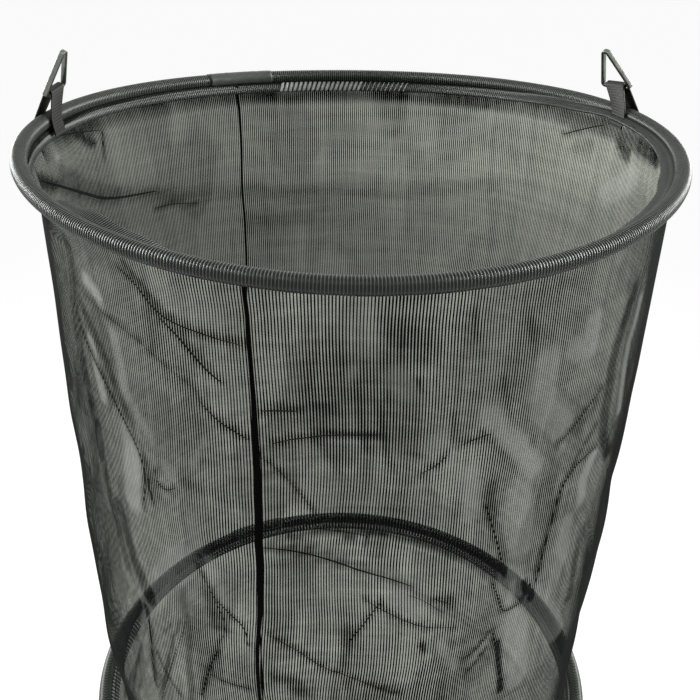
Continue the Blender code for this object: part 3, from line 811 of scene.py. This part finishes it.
SHADES = [
    (12.0, -0.36, [(242, 243), (237, 270), (231, 310), (225, 350)]),
    (12.0, -0.38, [(300, 258), (306, 286), (312, 324), (317, 360)]),
    (7.5, 0.80, [(26.0, 4), (21.5, 12), (18.0, 22), (15.5, 30)]),
    (8.0, 0.72, [(15.0, 10), (8.0, 16), (2.0, 16), (356.0, 12), (350.0, 12)]),
    (5.0, 0.80, [(171.0, 6), (167.0, 14), (164.0, 24), (161.0, 32)]),
    (6.1, 0.50, [(219, 27), (219.4, 48), (218.5, 72), (218, 96), (218.8, 132), (219.5, 164),
                 (219.8, 199), (220.5, 235), (221.7, 271), (223.5, 302)]),
    (4.8, 0.60, [(220.6, 69), (222.6, 80), (225.1, 94), (227, 108), (228.8, 125), (231, 145),
                 (233.1, 162), (235, 180), (235.1, 193)]),
    (2.8, 0.65, [(235.6, 17), (237.7, 27), (239.8, 37), (242.1, 43), (244.3, 47), (246.4, 47)]),
    (3.8, 0.50, [(242.4, 45), (244.5, 54), (247, 64), (249, 72), (251.3, 80)]),
    (5.2, -0.60, [(223.8, 47), (225.8, 50), (226.9, 55)]),
    (5.2, -0.50, [(222.4, 96), (223.3, 111), (223.8, 126), (224.1, 139)]),
    (11.3, -0.45, [(231.3, 157), (230.3, 194), (229.1, 219)]),
    (5.2, -0.30, [(229.7, 77), (230.4, 98), (231.3, 120), (234.2, 137), (236.8, 148)]),
    (10.9, -0.25, [(250.6, 78), (253.2, 92)]),
    (9.2, -0.22, [(241.6, 23), (245, 32), (250.7, 33)]),
    (11.1, 0.18, [(238.9, 57), (241.4, 72), (243, 84)]),
    (2.4, -0.45, [(245.4, 155), (247.2, 137), (248, 130)]),
    (7.8, 0.60, [(223.6, 239), (224.5, 264), (226.3, 284), (229, 302), (230.6, 309)]),
    (6.1, 0.50, [(235.9, 183), (236.6, 190), (236.9, 197)]),
    (6.1, -0.40, [(240.2, 167), (241.3, 172)]),
    (7.0, 0.25, [(243.2, 172), (245.6, 174)]),
    (5.2, -0.32, [(244.6, 198), (244.6, 225)]),
    (5.2, -0.38, [(246.6, 236), (247.4, 249), (248.2, 262), (249, 272)]),
    (7.0, 0.45, [(246.1, 265), (247.1, 281), (248.1, 299)]),
    (5.9, -0.28, [(251.8, 277), (252.9, 304), (253.2, 329)]),
    (11.3, -0.22, [(239.5, 277), (238.8, 330), (239.4, 372)]),
    (5.2, -0.30, [(228.4, 338), (226.5, 375), (226.6, 410)]),
    (8.7, 0.32, [(225.8, 331), (222, 378)]),
    (6.4, 0.50, [(258.4, 340), (261.3, 342), (262.8, 354)]),
    (9.2, -0.16, [(258.9, 67), (261.5, 70)]),
    (2.6, 0.25, [(271.4, 73), (272.2, 110), (272.9, 119)]),
    (2.7, 0.32, [(274.7, 88), (275.4, 110), (276.2, 125), (277.4, 138)]),
    (5.1, 0.28, [(265.6, 89), (268, 91)]),
    (1.6, 0.60, [(280.4, 69), (280.7, 76)]),
    (9.1, 0.20, [(277.5, 36), (281.6, 48)]),
    (2.5, -0.30, [(270.3, 68), (271.2, 58)]),
    (7.8, -0.25, [(277, 67), (278.8, 76)]),
    (7.0, -0.30, [(283.3, 121), (284.9, 111)]),
    (2.2, -0.50, [(286.3, 136), (286.5, 127)]),
    (7.1, -0.55, [(289.9, 146), (290.6, 163), (290.8, 182)]),
    (2.9, 0.30, [(286.1, 98), (286.6, 117)]),
    (8.7, -0.62, [(292.2, 103), (295.7, 122), (299.6, 142), (302.7, 162)]),
    (2.5, 0.35, [(290.7, 112), (295.1, 134), (301.6, 167)]),
    (3.4, 0.30, [(294.9, 105), (297.2, 121)]),
    (2.2, 0.45, [(300.7, 134), (302, 140)]),
    (12.2, -0.34, [(301.7, 76), (301.2, 95), (303.7, 116), (307.6, 135)]),
    (8.7, -0.30, [(311.2, 58), (311.3, 79), (307.6, 73)]),
    (6.1, 0.75, [(322.7, 54), (321.3, 69), (319.8, 86), (319.1, 104), (319.3, 126),
                 (319.3, 146), (320.3, 169), (323.3, 193)]),
    (3.9, -0.30, [(326.4, 65), (325.8, 81), (324.3, 97), (324.1, 113), (324.4, 136),
                  (325.1, 158)]),
    (5.2, 0.50, [(340, 84), (341, 111), (341, 137), (341.1, 170), (335.4, 180), (331.6, 191),
                 (330.8, 211), (328.7, 230), (327.6, 252)]),
    (3.5, 0.40, [(317.2, 125), (315.1, 136), (311.9, 146)]),
    (2.6, 0.55, [(317.1, 153), (314.5, 167), (312.6, 181), (311, 192), (310.2, 210),
                 (310.1, 225)]),
    (5.2, -0.38, [(317.9, 181), (316.4, 200), (316.9, 220)]),
    (3.5, -0.30, [(309.5, 145), (308.8, 157)]),
    (5.1, 0.36, [(294.5, 162), (294.2, 179), (295.5, 193)]),
    (11.3, -0.34, [(300.3, 179), (302.6, 209), (303, 236)]),
    (2.1, 0.30, [(288, 24), (288.8, 46)]),
    (3.3, 0.36, [(297.2, 36), (298.2, 52)]),
    (2.4, 0.30, [(293.6, 75), (295.1, 100)]),
    (4.3, 0.50, [(295.4, 198), (297.4, 218), (298.8, 241)]),
    (5.2, -0.65, [(301.6, 267), (301.7, 285)]),
    (12.2, -0.60, [(303.6, 310), (306.1, 345), (307.2, 387)]),
    (3.5, 0.90, [(300.4, 327), (301.7, 357), (303.2, 392)]),
    (3.1, 0.95, [(304.8, 274), (305.3, 281)]),
    (2.6, 0.50, [(309.4, 217), (308.8, 240), (307.7, 256), (306.9, 282)]),
    (7.0, -0.30, [(313.8, 232), (314, 271), (311, 305)]),
    (5.2, 0.40, [(319.9, 256), (318.6, 283), (319, 327)]),
    (6.8, -0.34, [(278.5, 248), (280.6, 259), (282.3, 266)]),
    (3.4, -0.55, [(286.6, 303), (288.5, 318), (290.6, 334)]),
    (4.3, -0.34, [(294, 335), (297.5, 318)]),
    (3.0, 0.90, [(275.7, 259), (276.4, 258)]),
    (3.8, 0.36, [(270.8, 281), (270.2, 311), (270.8, 342)]),
    (2.4, 0.90, [(283.2, 298), (283.7, 304)]),
    (3.3, 0.50, [(287.9, 256), (288.2, 268)]),
    (7.0, 0.35, [(175.2, 40), (164, 69), (150.4, 93), (136.8, 106)]),
    (7.8, 0.25, [(133.9, 109), (103.2, 123), (77.5, 121), (54, 101)]),
    (7.8, -0.22, [(65.5, 56), (53.2, 24), (40.8, 23)]),
    (6.1, 0.30, [(31.8, 42), (27.5, 37)]),
    (7.0, 0.20, [(117.8, 150), (100.6, 153)]),
    (8.7, 0.60, [(3.2, 4), (-3.9, 13), (-2.7, 34)]),
    (7.0, 0.60, [(177.7, 0), (181.5, 0)]),
    (7.0, -0.30, [(179.4, 11), (175.8, 22)]),
    (10.4, -0.20, [(20.4, 73), (11.9, 46)]),
]


CLOTH_WIDTH = math.tau * HOOP_RADIUS
CELL = 0.0205
# Each crease also gets a band of painted shade, darker cloth on either side of it.
CREASE_SHADE = 0.50
CREASE_MARGIN = 1.8  # millimetres of darker cloth on either side of a crease
EDGE_SHARE, EDGE_LEAST = 0.28, 0.0015


def wrapped(across):
    """A distance round the cloth as the shorter way, left or right."""
    return (across + CLOTH_WIDTH / 2) % CLOTH_WIDTH - CLOTH_WIDTH / 2


def flat_place(turn, drop):
    """A place on the flat cloth, from degrees round the net and millimetres down it."""
    return Vector((math.radians(turn) * HOOP_RADIUS, drop / 1000))


def line_offset(place, points):
    """Distance on the flat cloth from a place to a line of points."""
    best = 1.0
    for here, there in zip(points, points[1:]):
        run = there - here
        off = Vector((wrapped(place.x - here.x), place.y - here.y))
        share = min(1.0, max(0.0, off.dot(run) / max(run.length_squared, 1e-12)))
        best = min(best, (off - run * share).length)
    return best


def shade_cells(section):
    """The shades near each cell of a section's flat cloth."""
    cells = {}
    shades = SHADES + [
        (width / 2 + CREASE_MARGIN, CREASE_SHADE, line) for width, line in CREASES
    ]
    for half, amount, line in shades:
        half /= 1000
        points = [flat_place(turn - section * SECTION_TURN, drop) for turn, drop in line]
        reach = half * 1.6 + 0.003  # a little past the shade's soft edge
        first_x, last_x = min(p.x for p in points) - reach, max(p.x for p in points) + reach
        first_y, last_y = min(p.y for p in points) - reach, max(p.y for p in points) + reach
        for i in range(math.floor(first_x / CELL), math.floor(last_x / CELL) + 1):
            for j in range(math.floor(first_y / CELL), math.floor(last_y / CELL) + 1):
                cell = (math.floor(i * CELL % CLOTH_WIDTH / CELL + 0.5), j)
                for near in (cell, (cell[0] + 1, j), (cell[0] - 1, j)):
                    cells.setdefault(near, {})[(half, amount, points[0].x)] = points
    return cells


def shade_and_gleam(cells, azimuth, drop):
    """How far painted shade closes the holes at a place, below zero for painted highlight."""
    place = Vector((azimuth % math.tau * HOOP_RADIUS, drop))
    cell = (math.floor(place.x / CELL), math.floor(place.y / CELL))
    darker, lighter = 0.0, 0.0
    for (half, amount, _), points in cells.get(cell, {}).items():
        edge = EDGE_SHARE * half + EDGE_LEAST
        share = (half + edge - line_offset(place, points)) / (2 * edge)
        share = min(1.0, max(0.0, share))
        level = amount * share * share * (3 - 2 * share)
        darker, lighter = max(darker, level), min(lighter, level)
    return darker + lighter


RIPPLE_SIZE, RIPPLE_DEPTH = 0.055, 0.0022
SWAY_SIZE, SWAY_REACH = 0.11, 0.0065


def wall_place(section, azimuth, share, lift=0.0):
    """A place on the folded wall, lifted off it by a little."""
    height = wall_height(section, azimuth, share)
    hang = math.sin(math.pi * min(1.0, share))
    lean = FOLD_COUNT * azimuth + FOLD_TURN * (share + section)
    radius = wall_radius(azimuth, share) + FOLD_DEPTH * hang * math.sin(lean)
    upright = polar(HOOP_RADIUS, azimuth, height)
    ripple = noise.noise(upright / RIPPLE_SIZE + Vector((0, 0, section)))
    sway = noise.noise(upright / SWAY_SIZE + Vector((3, 1, section)))
    radius += RIPPLE_DEPTH * ripple * hang
    turn = azimuth + SWAY_REACH * sway * hang / HOOP_RADIUS
    return polar(radius + lift, turn, height)


FRONT_DRIFT = [  # millimetres down the wall, and degrees sideways
    (0, -0.1), (24, -0.1), (93, 0.3), (139, 0.4), (171, 0.2), (215, -0.2), (261, -0.5),
    (310, -0.8), (364, -1.3), (460, -2.1), (573, -2.2),
]
BACK_DRIFT = math.radians(1.1)
DRIFT_REACH = 1.0


def drifted(azimuth, share):
    """An azimuth moved sideways with the seams, which aren't quite upright."""
    front = max(0.0, 1 - abs(azimuth - FRONT_SEAM) / DRIFT_REACH)
    azimuth += math.radians(eased(FRONT_DRIFT, share * WALL_DROP * 1000)) * front
    back = max(0.0, 1 - abs((azimuth - BACK_SEAM + math.pi) % math.tau - math.pi) / DRIFT_REACH)
    return azimuth + BACK_DRIFT * back


print(len(CREASES), "creases and", len(SHADES), "shades")

# %% [markdown]
# Each section is two panels, cut from flat mesh and sewn together along two bound seams. A
# panel has two columns of points for each wale, one on its ridge and one in the valley beside
# it. Each panel, seam and pleat gets its own copy of its mesh. The panels' edges follow the
# seams, which drift a little sideways on their way down, and the holes are closed a little in
# the lower half of each section, so that it is darker towards the bottom.

# %% The panels
PANEL_GAP = 0.0010
LOW_DARKENING = [(0.24, 0.0), (0.30, 0.12), (0.60, 0.12)]
PANEL_ROWS = (105, 50, 50)


def squash_up(piece):
    """Give a piece of the wall its own copy of its mesh."""
    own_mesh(piece)


half_gap = PANEL_GAP / 2 / HOOP_RADIUS
panel_turns = {
    "left_panel": (BACK_SEAM + half_gap, FRONT_SEAM - BACK_SEAM - 2 * half_gap),
    "right_panel": (FRONT_SEAM + half_gap, math.tau - FRONT_SEAM + BACK_SEAM - 2 * half_gap),
}
panels = {}
for section, section_name in enumerate(SECTIONS):
    rows = PANEL_ROWS[section]
    cells = shade_cells(section)
    for side, (start, turn) in panel_turns.items():
        columns = 2 * round(turn * HOOP_RADIUS / WALE_PITCH)
        lengths = [WALL_DROP * row / rows for row in range(rows + 1)]
        mesh, column_of, row_of = flat_band(columns, WALE_PITCH / 2, lengths)
        laid = mesh.verts.layers.float.new("shade_and_gleam")
        for vertex in mesh.verts:
            share = vertex[row_of] / rows
            azimuth = drifted(start + turn * vertex[column_of] / columns, share)
            ridge = WALE_RELIEF / 2 if vertex[column_of] % 2 == 0 else -WALE_RELIEF / 2
            drop = share * WALL_DROP + WALL_TOP
            # The painted shade and highlight, and holes closed a little more towards the bottom, which makes it
            # darker there.
            vertex[laid] = shade_and_gleam(cells, azimuth, drop) + eased(LOW_DARKENING, drop)
            vertex.co = wall_place(section, azimuth, share, ridge)
        bmesh.ops.recalc_face_normals(mesh, faces=mesh.faces)
        name = f"{section_name}_{side}"
        panels[name] = finished(f"{name}_cloth", mesh, mesh_cloth, HOOPS[section], [name])
    print(section_name, "panels hung")

# %% [markdown]
# A pleat is a narrow strip of the same cloth, laid double on the wall. Its line is smoothed
# by cutting its corners twice, and its width tapers to nothing at both ends. Each strip is a
# grid one cell wide, and its vertices are first placed on the flat cloth, which also gives
# its UVs, and then on the wall.

# %% The pleats
PLEAT_LIFT = 0.0005
PLEAT_SHARE = 0.40


def smoothed(points):
    """A line of points with its corners cut."""
    for _ in range(2):
        cut = [points[0]]
        for here, there in zip(points, points[1:]):
            cut += [here.lerp(there, 0.25), here.lerp(there, 0.75)]
        points = cut + [points[-1]]
    return points


pleats = {}
for section, section_name in enumerate(SECTIONS):
    mesh = bmesh.new()
    flat = mesh.verts.layers.float_vector.new("flat")
    for width, places in CREASES:
        turned = [((turn - section * SECTION_TURN) % 360, drop) for turn, drop in places]
        line = smoothed([flat_place(turn, drop) for turn, drop in turned])
        last = len(line) - 1
        strip = bmesh.ops.create_grid(mesh, x_segments=last, y_segments=1, size=0.5)["verts"]
        for vertex in strip:
            index = round((vertex.co.x + 0.5) * last)
            ahead = line[min(index + 1, last)] - line[max(index - 1, 0)]
            side = Vector((-ahead.y, ahead.x)).normalized()
            taper = math.sin(math.pi * (index + 0.5) / len(line)) ** 0.5
            half = width / 1000 * PLEAT_SHARE / 2 * taper
            across = line[index] + side * math.copysign(half, vertex.co.y)
            vertex[flat] = (*across, 0)
            share = (across.y - WALL_TOP) / WALL_DROP
            vertex.co = wall_place(section, across.x / HOOP_RADIUS, share, PLEAT_LIFT)
    uv = mesh.loops.layers.uv.new("cloth")
    for face in mesh.faces:
        for loop in face.loops:
            loop[uv].uv = loop.vert[flat].xy
    mesh.verts.layers.float_vector.remove(flat)
    bmesh.ops.recalc_face_normals(mesh, faces=mesh.faces)
    pleats[section_name] = finished(
        f"{section_name}_pleats", mesh, doubled_mesh, HOOPS[section]
    )
print("pleats laid")

# %% [markdown]
# The panels' edges are folded together and bound with a narrow black tape, which is stitched
# down its middle. Against the light the binding is the darkest line on the net. It looks
# wider where it lies flat to the eye and narrower where it stands on edge, so each seam has a
# table of millimetres down the wall and the share of its full width.

# %% The bound seams
SEAM_WIDTH = 0.0042
SEAM_WIDTHS = {
    "front": [
        (0, 0.56), (60, 0.62), (130, 0.95), (180, 1.15), (225, 1.3), (255, 1.0), (300, 0.66),
        (364, 0.62), (420, 0.9), (460, 1.1), (573, 1.1),
    ],
    "back": [(0, 0.62), (60, 0.5), (573, 0.46)],
}
SEAM_THICKNESS = 0.0016
SEAM_ROWS = 130
SEAM_COLUMNS = 4
SEAM_WANDER, SEAM_WAVES = 0.0006, 14
binding = woven_ribbon("black_seam_binding", "#020202", "#070807", 0.85, 0.5, 0.0012)
binding.node_tree.nodes["Principled BSDF"].inputs["Specular IOR Level"].default_value = 0.04
for section, section_name in enumerate(SECTIONS):
    seams = []
    for side, azimuth in (("front", FRONT_SEAM), ("back", BACK_SEAM)):
        lengths = [WALL_DROP * row / SEAM_ROWS for row in range(SEAM_ROWS + 1)]
        mesh, column_of, row_of = flat_band(SEAM_COLUMNS, SEAM_WIDTH / SEAM_COLUMNS, lengths)
        for vertex in mesh.verts:
            share = vertex[row_of] / SEAM_ROWS
            wander = SEAM_WANDER * noise.noise(Vector((azimuth, section, share * SEAM_WAVES)))
            width = SEAM_WIDTH * eased(SEAM_WIDTHS[side], share * WALL_DROP * 1000)
            off = (vertex[column_of] / SEAM_COLUMNS - 0.5) * width + wander
            turn = drifted(azimuth, share) + off / HOOP_RADIUS
            vertex.co = wall_place(section, turn, share)
        bmesh.ops.recalc_face_normals(mesh, faces=mesh.faces)
        name = f"{section_name}_{side}_seam"
        seam = finished(f"{name}_binding", mesh, binding, HOOPS[section], [name])
        shape_with(seam, "fold", "SOLIDIFY", thickness=SEAM_THICKNESS, offset=0)
        seams.append(seam)
    for side in panel_turns:
        squash_up(panels[f"{section_name}_{side}"])
    for piece in seams + [pleats[section_name]]:
        squash_up(piece)
print("six seams bound")

# %% [markdown]
# The edges of the tape and the net are overlocked together: three light strands at a time
# loop over the flange every few millimetres and slant from its root to its edge. On the top
# hoop they show only at the back, as a bright row, and on the second one at the left, because
# elsewhere the tape is folded over them. The two lower hoops are sewn all round. Each strand
# is a short curve with a round bevel, and the row is made a mesh before it is placed.

# %% Overlock stitches
THREAD_RADIUS = 0.00045
THREAD_GAP = 0.0009
FUZZ_SIZE = 0.0012
STITCH_PITCH = 0.0048
STITCH_SLANT = 0.0034
STITCH_ROOT = 0.0006
STITCH_REACH = FLANGE_LENGTH - 0.0004
STITCH_PATH = ((0.0, 1), (0.5, 1), (0.95, 1), (1.06, 0))  # shares of the reach and the lift
FULL_STITCH = math.radians(88)  # on the top hoop, all three strands show only beyond it
SEWN_ARCS = {
    0: (math.radians(76), math.radians(107)),
    1: (math.radians(165), math.radians(222)),
}


def thread_runs(name, runs, radius, material, body):
    """Short lengths of thread, each through its own points, as one mesh piece."""
    curve = bpy.data.curves.new(name, "CURVE")
    curve.dimensions = "3D"
    curve.bevel_depth = radius
    curve.bevel_resolution = 1
    curve.use_fill_caps = True
    for points in runs:
        spline = curve.splines.new("POLY")
        spline.points.add(len(points) - 1)
        for knot, place in zip(spline.points, points):
            knot.co = (*place, 1.0)
    holder = bpy.data.objects.new(name, curve)
    bpy.context.scene.collection.objects.link(holder)
    ready = holder.evaluated_get(bpy.context.evaluated_depsgraph_get())
    data = bpy.data.meshes.new_from_object(ready)
    bpy.data.objects.remove(holder)
    mesh = bmesh.new()
    mesh.from_mesh(data)
    bmesh.ops.remove_doubles(mesh, verts=mesh.verts, dist=radius / 20)
    return finished(name, mesh, material, body)


def spun_thread(name, dark, light):
    """A twisted polyester sewing thread, a little fuzzy and uneven in tone."""
    material, tree = new_material(name)
    place = add(tree, "ShaderNodeTexCoord")
    fuzz = add(
        tree, NOISE, {"Vector": place.outputs["Object"], "Scale": 1 / FUZZ_SIZE, "Detail": 2.0}
    )
    bump = add(tree, "ShaderNodeBump", {"Height": fuzz, "Distance": 0.0001})
    two_toned(tree, fuzz, dark, light, Roughness=0.55, Normal=bump)
    return material


pale_thread = spun_thread("pale_polyester_thread", "#c6cac4", "#f6f8f2")
for hoop, hoop_name in enumerate(HOOPS):
    runs = []
    stitches = round(math.tau * HOOP_RADIUS / STITCH_PITCH)
    lift = FLANGE_HALF + RIB_HEIGHT / 2 + THREAD_RADIUS * 0.8
    for stitch in range(stitches):
        start = math.tau * stitch / stitches
        if hoop in SEWN_ARCS and not SEWN_ARCS[hoop][0] < start < SEWN_ARCS[hoop][1]:
            continue
        strands = (-1, 0, 1) if hoop == 0 and start > FULL_STITCH else (0,)
        for strand in strands:
            points = []
            for share, raised in STITCH_PATH:
                azimuth = start + (strand * THREAD_GAP + STITCH_SLANT * share) / HOOP_RADIUS
                along = TAPE_RADIUS + STITCH_ROOT + STITCH_REACH * share
                points.append(on_hoop(hoop, azimuth, Vector((-along, lift * raised))))
            runs.append(points)
    thread_runs(f"{hoop_name}_overlock", runs, THREAD_RADIUS, pale_thread, hoop_name)
    print(hoop_name, len(runs), "strands")

# %% [markdown]
# The bottom of the net is a flat disc of the same mesh, sewn in under the lowest hoop.

# %% The base net
low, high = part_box("base_net")
base_radius = high.x
mesh = bmesh.new()
bmesh.ops.create_circle(mesh, cap_ends=True, radius=base_radius, segments=96)
bmesh.ops.translate(mesh, verts=mesh.verts, vec=(0, 0, (low.z + high.z) / 2))
uv = mesh.loops.layers.uv.new("cloth")
for face in mesh.faces:
    for loop in face.loops:
        loop[uv].uv = (loop.vert.co.x, loop.vert.co.y)
disc = finished("base_net_cloth", mesh, mesh_cloth, "base_hoop", ["base_net"])
shape_with(disc, "thread", "SOLIDIFY", thickness=WALE_RELIEF, offset=0)
print("base net", round(2 * base_radius, 3), "m across")

# %% [markdown]
# Each ring is held by a tab: a strap of 19 mm webbing that comes up outside the hoop, goes
# over the ring's base bar and down inside, where it is sewn to the net. The ring's hinge in
# the frame gives the bar's place and direction, and the strap's spine is drawn round it and
# round the tape.

# %% The tabs' spines
WEBBING_WIDTH = 0.019
WEBBING_THICKNESS = 0.0012
BAR_CLEARANCE = 0.0034
STRAP_GAP = 0.0003
TAB_HOOK, TAB_CREST = math.radians(50), math.radians(20)
INNER_GAP = 0.0018
TAB_TAIL = ((0.0, 0.004), (0.0012, -0.003), (0.0022, -0.010), (0.0026, -0.0095))  # in, up
TAB_FEET = {"left": math.radians(173), "right": math.radians(19.2)}
hinges = {joint["name"]: joint for joint in frame["joints"]}


def tab_spine(side):
    """Middle points of the strap and its direction across at each, from outside to inside."""
    hinge = hinges[f"{side}_ring_hinge"]
    pivot, bar = Vector(hinge["pos_m"]), Vector(hinge["axis"])
    foot = TAB_FEET[side]
    origin = polar(HOOP_RADIUS, foot, hoop_sag(0, foot))
    outward, back, up = polar(1, foot, 0), polar(1, foot + math.pi / 2, 0), Vector((0, 0, 1))
    if back.y < 0:
        back.negate()
    if bar.dot(back) < 0:
        bar.negate()
    inward = bar.cross(up).normalized()
    if inward.dot(outward) > 0:
        inward.negate()
    rise = bar.cross(inward)
    if rise.z < 0:
        rise.negate()
    wrap = TAPE_RADIUS + STRAP_GAP + WEBBING_THICKNESS / 2
    stations = []
    for step in range(9):
        turn = -TAB_HOOK + (TAB_CREST + TAB_HOOK) * step / 8
        stations.append((origin + (outward * math.cos(turn) + up * math.sin(turn)) * wrap, back))
    for step in range(13):
        turn = math.pi * step / 12
        over = (rise * math.sin(turn) - inward * math.cos(turn)) * BAR_CLEARANCE
        stations.append((pivot + over, bar))
    for further, height in TAB_TAIL:
        inside = outward * (TAPE_RADIUS + INNER_GAP + further)
        stations.append((origin - inside + up * height, back))
    return stations


print("left tab", len(tab_spine("left")), "stations")

# %% [markdown]
# Webbing is woven flat and thick, with fine ribs across it and a firm edge down each side.
# A grid gets one column of vertices for each station of the spine and is solidified and
# bevelled, so that the edges are round like the real selvedge.

# %% The webbing tabs
CROSS_CUTS = 8
webbing = woven_ribbon("black_polypropylene_webbing", "#020202", "#3a3a30", 0.55, 0.30, 0.0026)
for side in ("left", "right"):
    stations = tab_spine(side)
    last = len(stations) - 1
    lengths = [0.0]
    for (here, _), (there, _) in zip(stations, stations[1:]):
        lengths.append(lengths[-1] + (there - here).length)
    mesh = bmesh.new()
    bmesh.ops.create_grid(mesh, x_segments=last, y_segments=CROSS_CUTS, size=0.5)
    uv = mesh.loops.layers.uv.new("cloth")
    for face in mesh.faces:
        for loop in face.loops:
            station = round((loop.vert.co.x + 0.5) * last)
            loop[uv].uv = (lengths[station], loop.vert.co.y * WEBBING_WIDTH)
    for vertex in mesh.verts:
        station = round((vertex.co.x + 0.5) * last)
        middle, across = stations[station]
        vertex.co = middle + across * WEBBING_WIDTH * vertex.co.y
    bmesh.ops.recalc_face_normals(mesh, faces=mesh.faces)
    tab = finished(f"{side}_webbing_tab", mesh, webbing, "top_hoop", [f"{side}_tab"])
    shape_with(tab, "bend", "SUBSURF", levels=1, render_levels=1)
    shape_with(tab, "webbing", "SOLIDIFY", thickness=WEBBING_THICKNESS, offset=0)
    shape_with(
        tab, "selvedge", "BEVEL", width=WEBBING_THICKNESS / 3, segments=2, limit_method="ANGLE"
    )
print("two tabs sewn on")

# %% [markdown]
# The rings are bent from flat steel strip, 4 mm wide and 2.6 mm thick, into a triangle with a
# narrow crown. The four corners of the middle line are joined into a face, whose vertices are
# bevelled round. The face is then deleted, its outline is extruded by the strip's width, and a
# solidify and a last bevel make it solid.

# %% The triangle rings
RING_BASE = 0.0304
RING_HEIGHT = 0.0351
STRIP_WIDTH = 0.0040
STRIP_THICKNESS = 0.0026
BASE_BEND = 0.0023
CROWN_BEND = 0.0019
CROWN_FLAT = 0.0020
RING_EDGE = 0.0004
GRAIN_SIZE, STAIN_SIZE = 0.0006, 0.009


def bent_steel():
    """Dull steel strip, with a fine grain in its gloss and cloudy stains in its tone."""
    material, tree = new_material("dull_bent_steel")
    place = add(tree, "ShaderNodeTexCoord")
    grain = add(
        tree, NOISE,
        {"Vector": place.outputs["Object"], "Scale": 1 / GRAIN_SIZE, "Detail": 5.0,
         "Roughness": 0.7},
    )
    stain = add(
        tree, NOISE, {"Vector": place.outputs["Object"], "Scale": 1 / STAIN_SIZE, "Detail": 2.0}
    )
    rough = add(
        tree, SPREAD,
        {"Value": grain, "From Min": 0.3, "From Max": 0.7, "To Min": 0.28, "To Max": 0.46},
    )
    bump = add(tree, "ShaderNodeBump", {"Height": grain, "Strength": 0.3, "Distance": 0.0001})
    two_toned(tree, stain, "#4c4e48", "#8e918a", Metallic=1.0, Roughness=rough, Normal=bump)
    return material


def rounded_corner(mesh, corners, radius):
    """Round some corners of a flat face to a bend radius."""
    for corner in corners:
        here = corner.co.copy()
        ways = [(edge.other_vert(corner).co - here).normalized() for edge in corner.link_edges]
        reach = radius / math.tan(ways[0].angle(ways[1]) / 2)
        bmesh.ops.bevel(
            mesh, geom=[corner], offset=reach, offset_type="OFFSET", segments=6, profile=0.5,
            affect="VERTICES", material=-1,
        )


steel = bent_steel()
for side in ("left", "right"):
    hinge = hinges[f"{side}_ring_hinge"]
    pivot, axis = Vector(hinge["pos_m"]), Vector(hinge["axis"])
    bar = axis if axis.y > 0 else -axis
    crown = next(m for m in frame["record"]["mounts"] if m["name"] == f"{side}_ring_crown")
    height = -Vector(crown["axis"])
    mesh = bmesh.new()
    crown_half = CROWN_FLAT / 2 + CROWN_BEND * 0.55
    corners = [
        mesh.verts.new(place) for place in (
            (-RING_BASE / 2, 0, 0), (RING_BASE / 2, 0, 0),
            (crown_half, RING_HEIGHT, 0), (-crown_half, RING_HEIGHT, 0),
        )
    ]
    mesh.faces.new(corners)
    rounded_corner(mesh, corners[:2], BASE_BEND)
    rounded_corner(mesh, [v for v in mesh.verts if abs(v.co.y - RING_HEIGHT) < 1e-6], CROWN_BEND)
    bmesh.ops.delete(mesh, geom=mesh.faces[:], context="FACES_ONLY")
    bmesh.ops.translate(mesh, verts=mesh.verts, vec=(0, 0, -STRIP_WIDTH / 2))
    strip = bmesh.ops.extrude_edge_only(mesh, edges=mesh.edges[:])
    raised = [part for part in strip["geom"] if isinstance(part, bmesh.types.BMVert)]
    bmesh.ops.translate(mesh, verts=raised, vec=(0, 0, STRIP_WIDTH))
    bmesh.ops.recalc_face_normals(mesh, faces=mesh.faces)
    turn = Matrix((bar, height, bar.cross(height))).transposed().to_4x4()
    bmesh.ops.transform(mesh, matrix=Matrix.Translation(pivot) @ turn, verts=mesh.verts)
    ring = finished(
        f"{side}_steel_ring", mesh, steel, f"{side}_ring", [f"{side}_triangle_ring"]
    )
    shape_with(ring, "strip", "SOLIDIFY", thickness=STRIP_THICKNESS, offset=0)
    shape_with(
        ring, "edges", "BEVEL", width=RING_EDGE, segments=3, limit_method="ANGLE",
        angle_limit=math.radians(50),
    )
print("two rings bent")
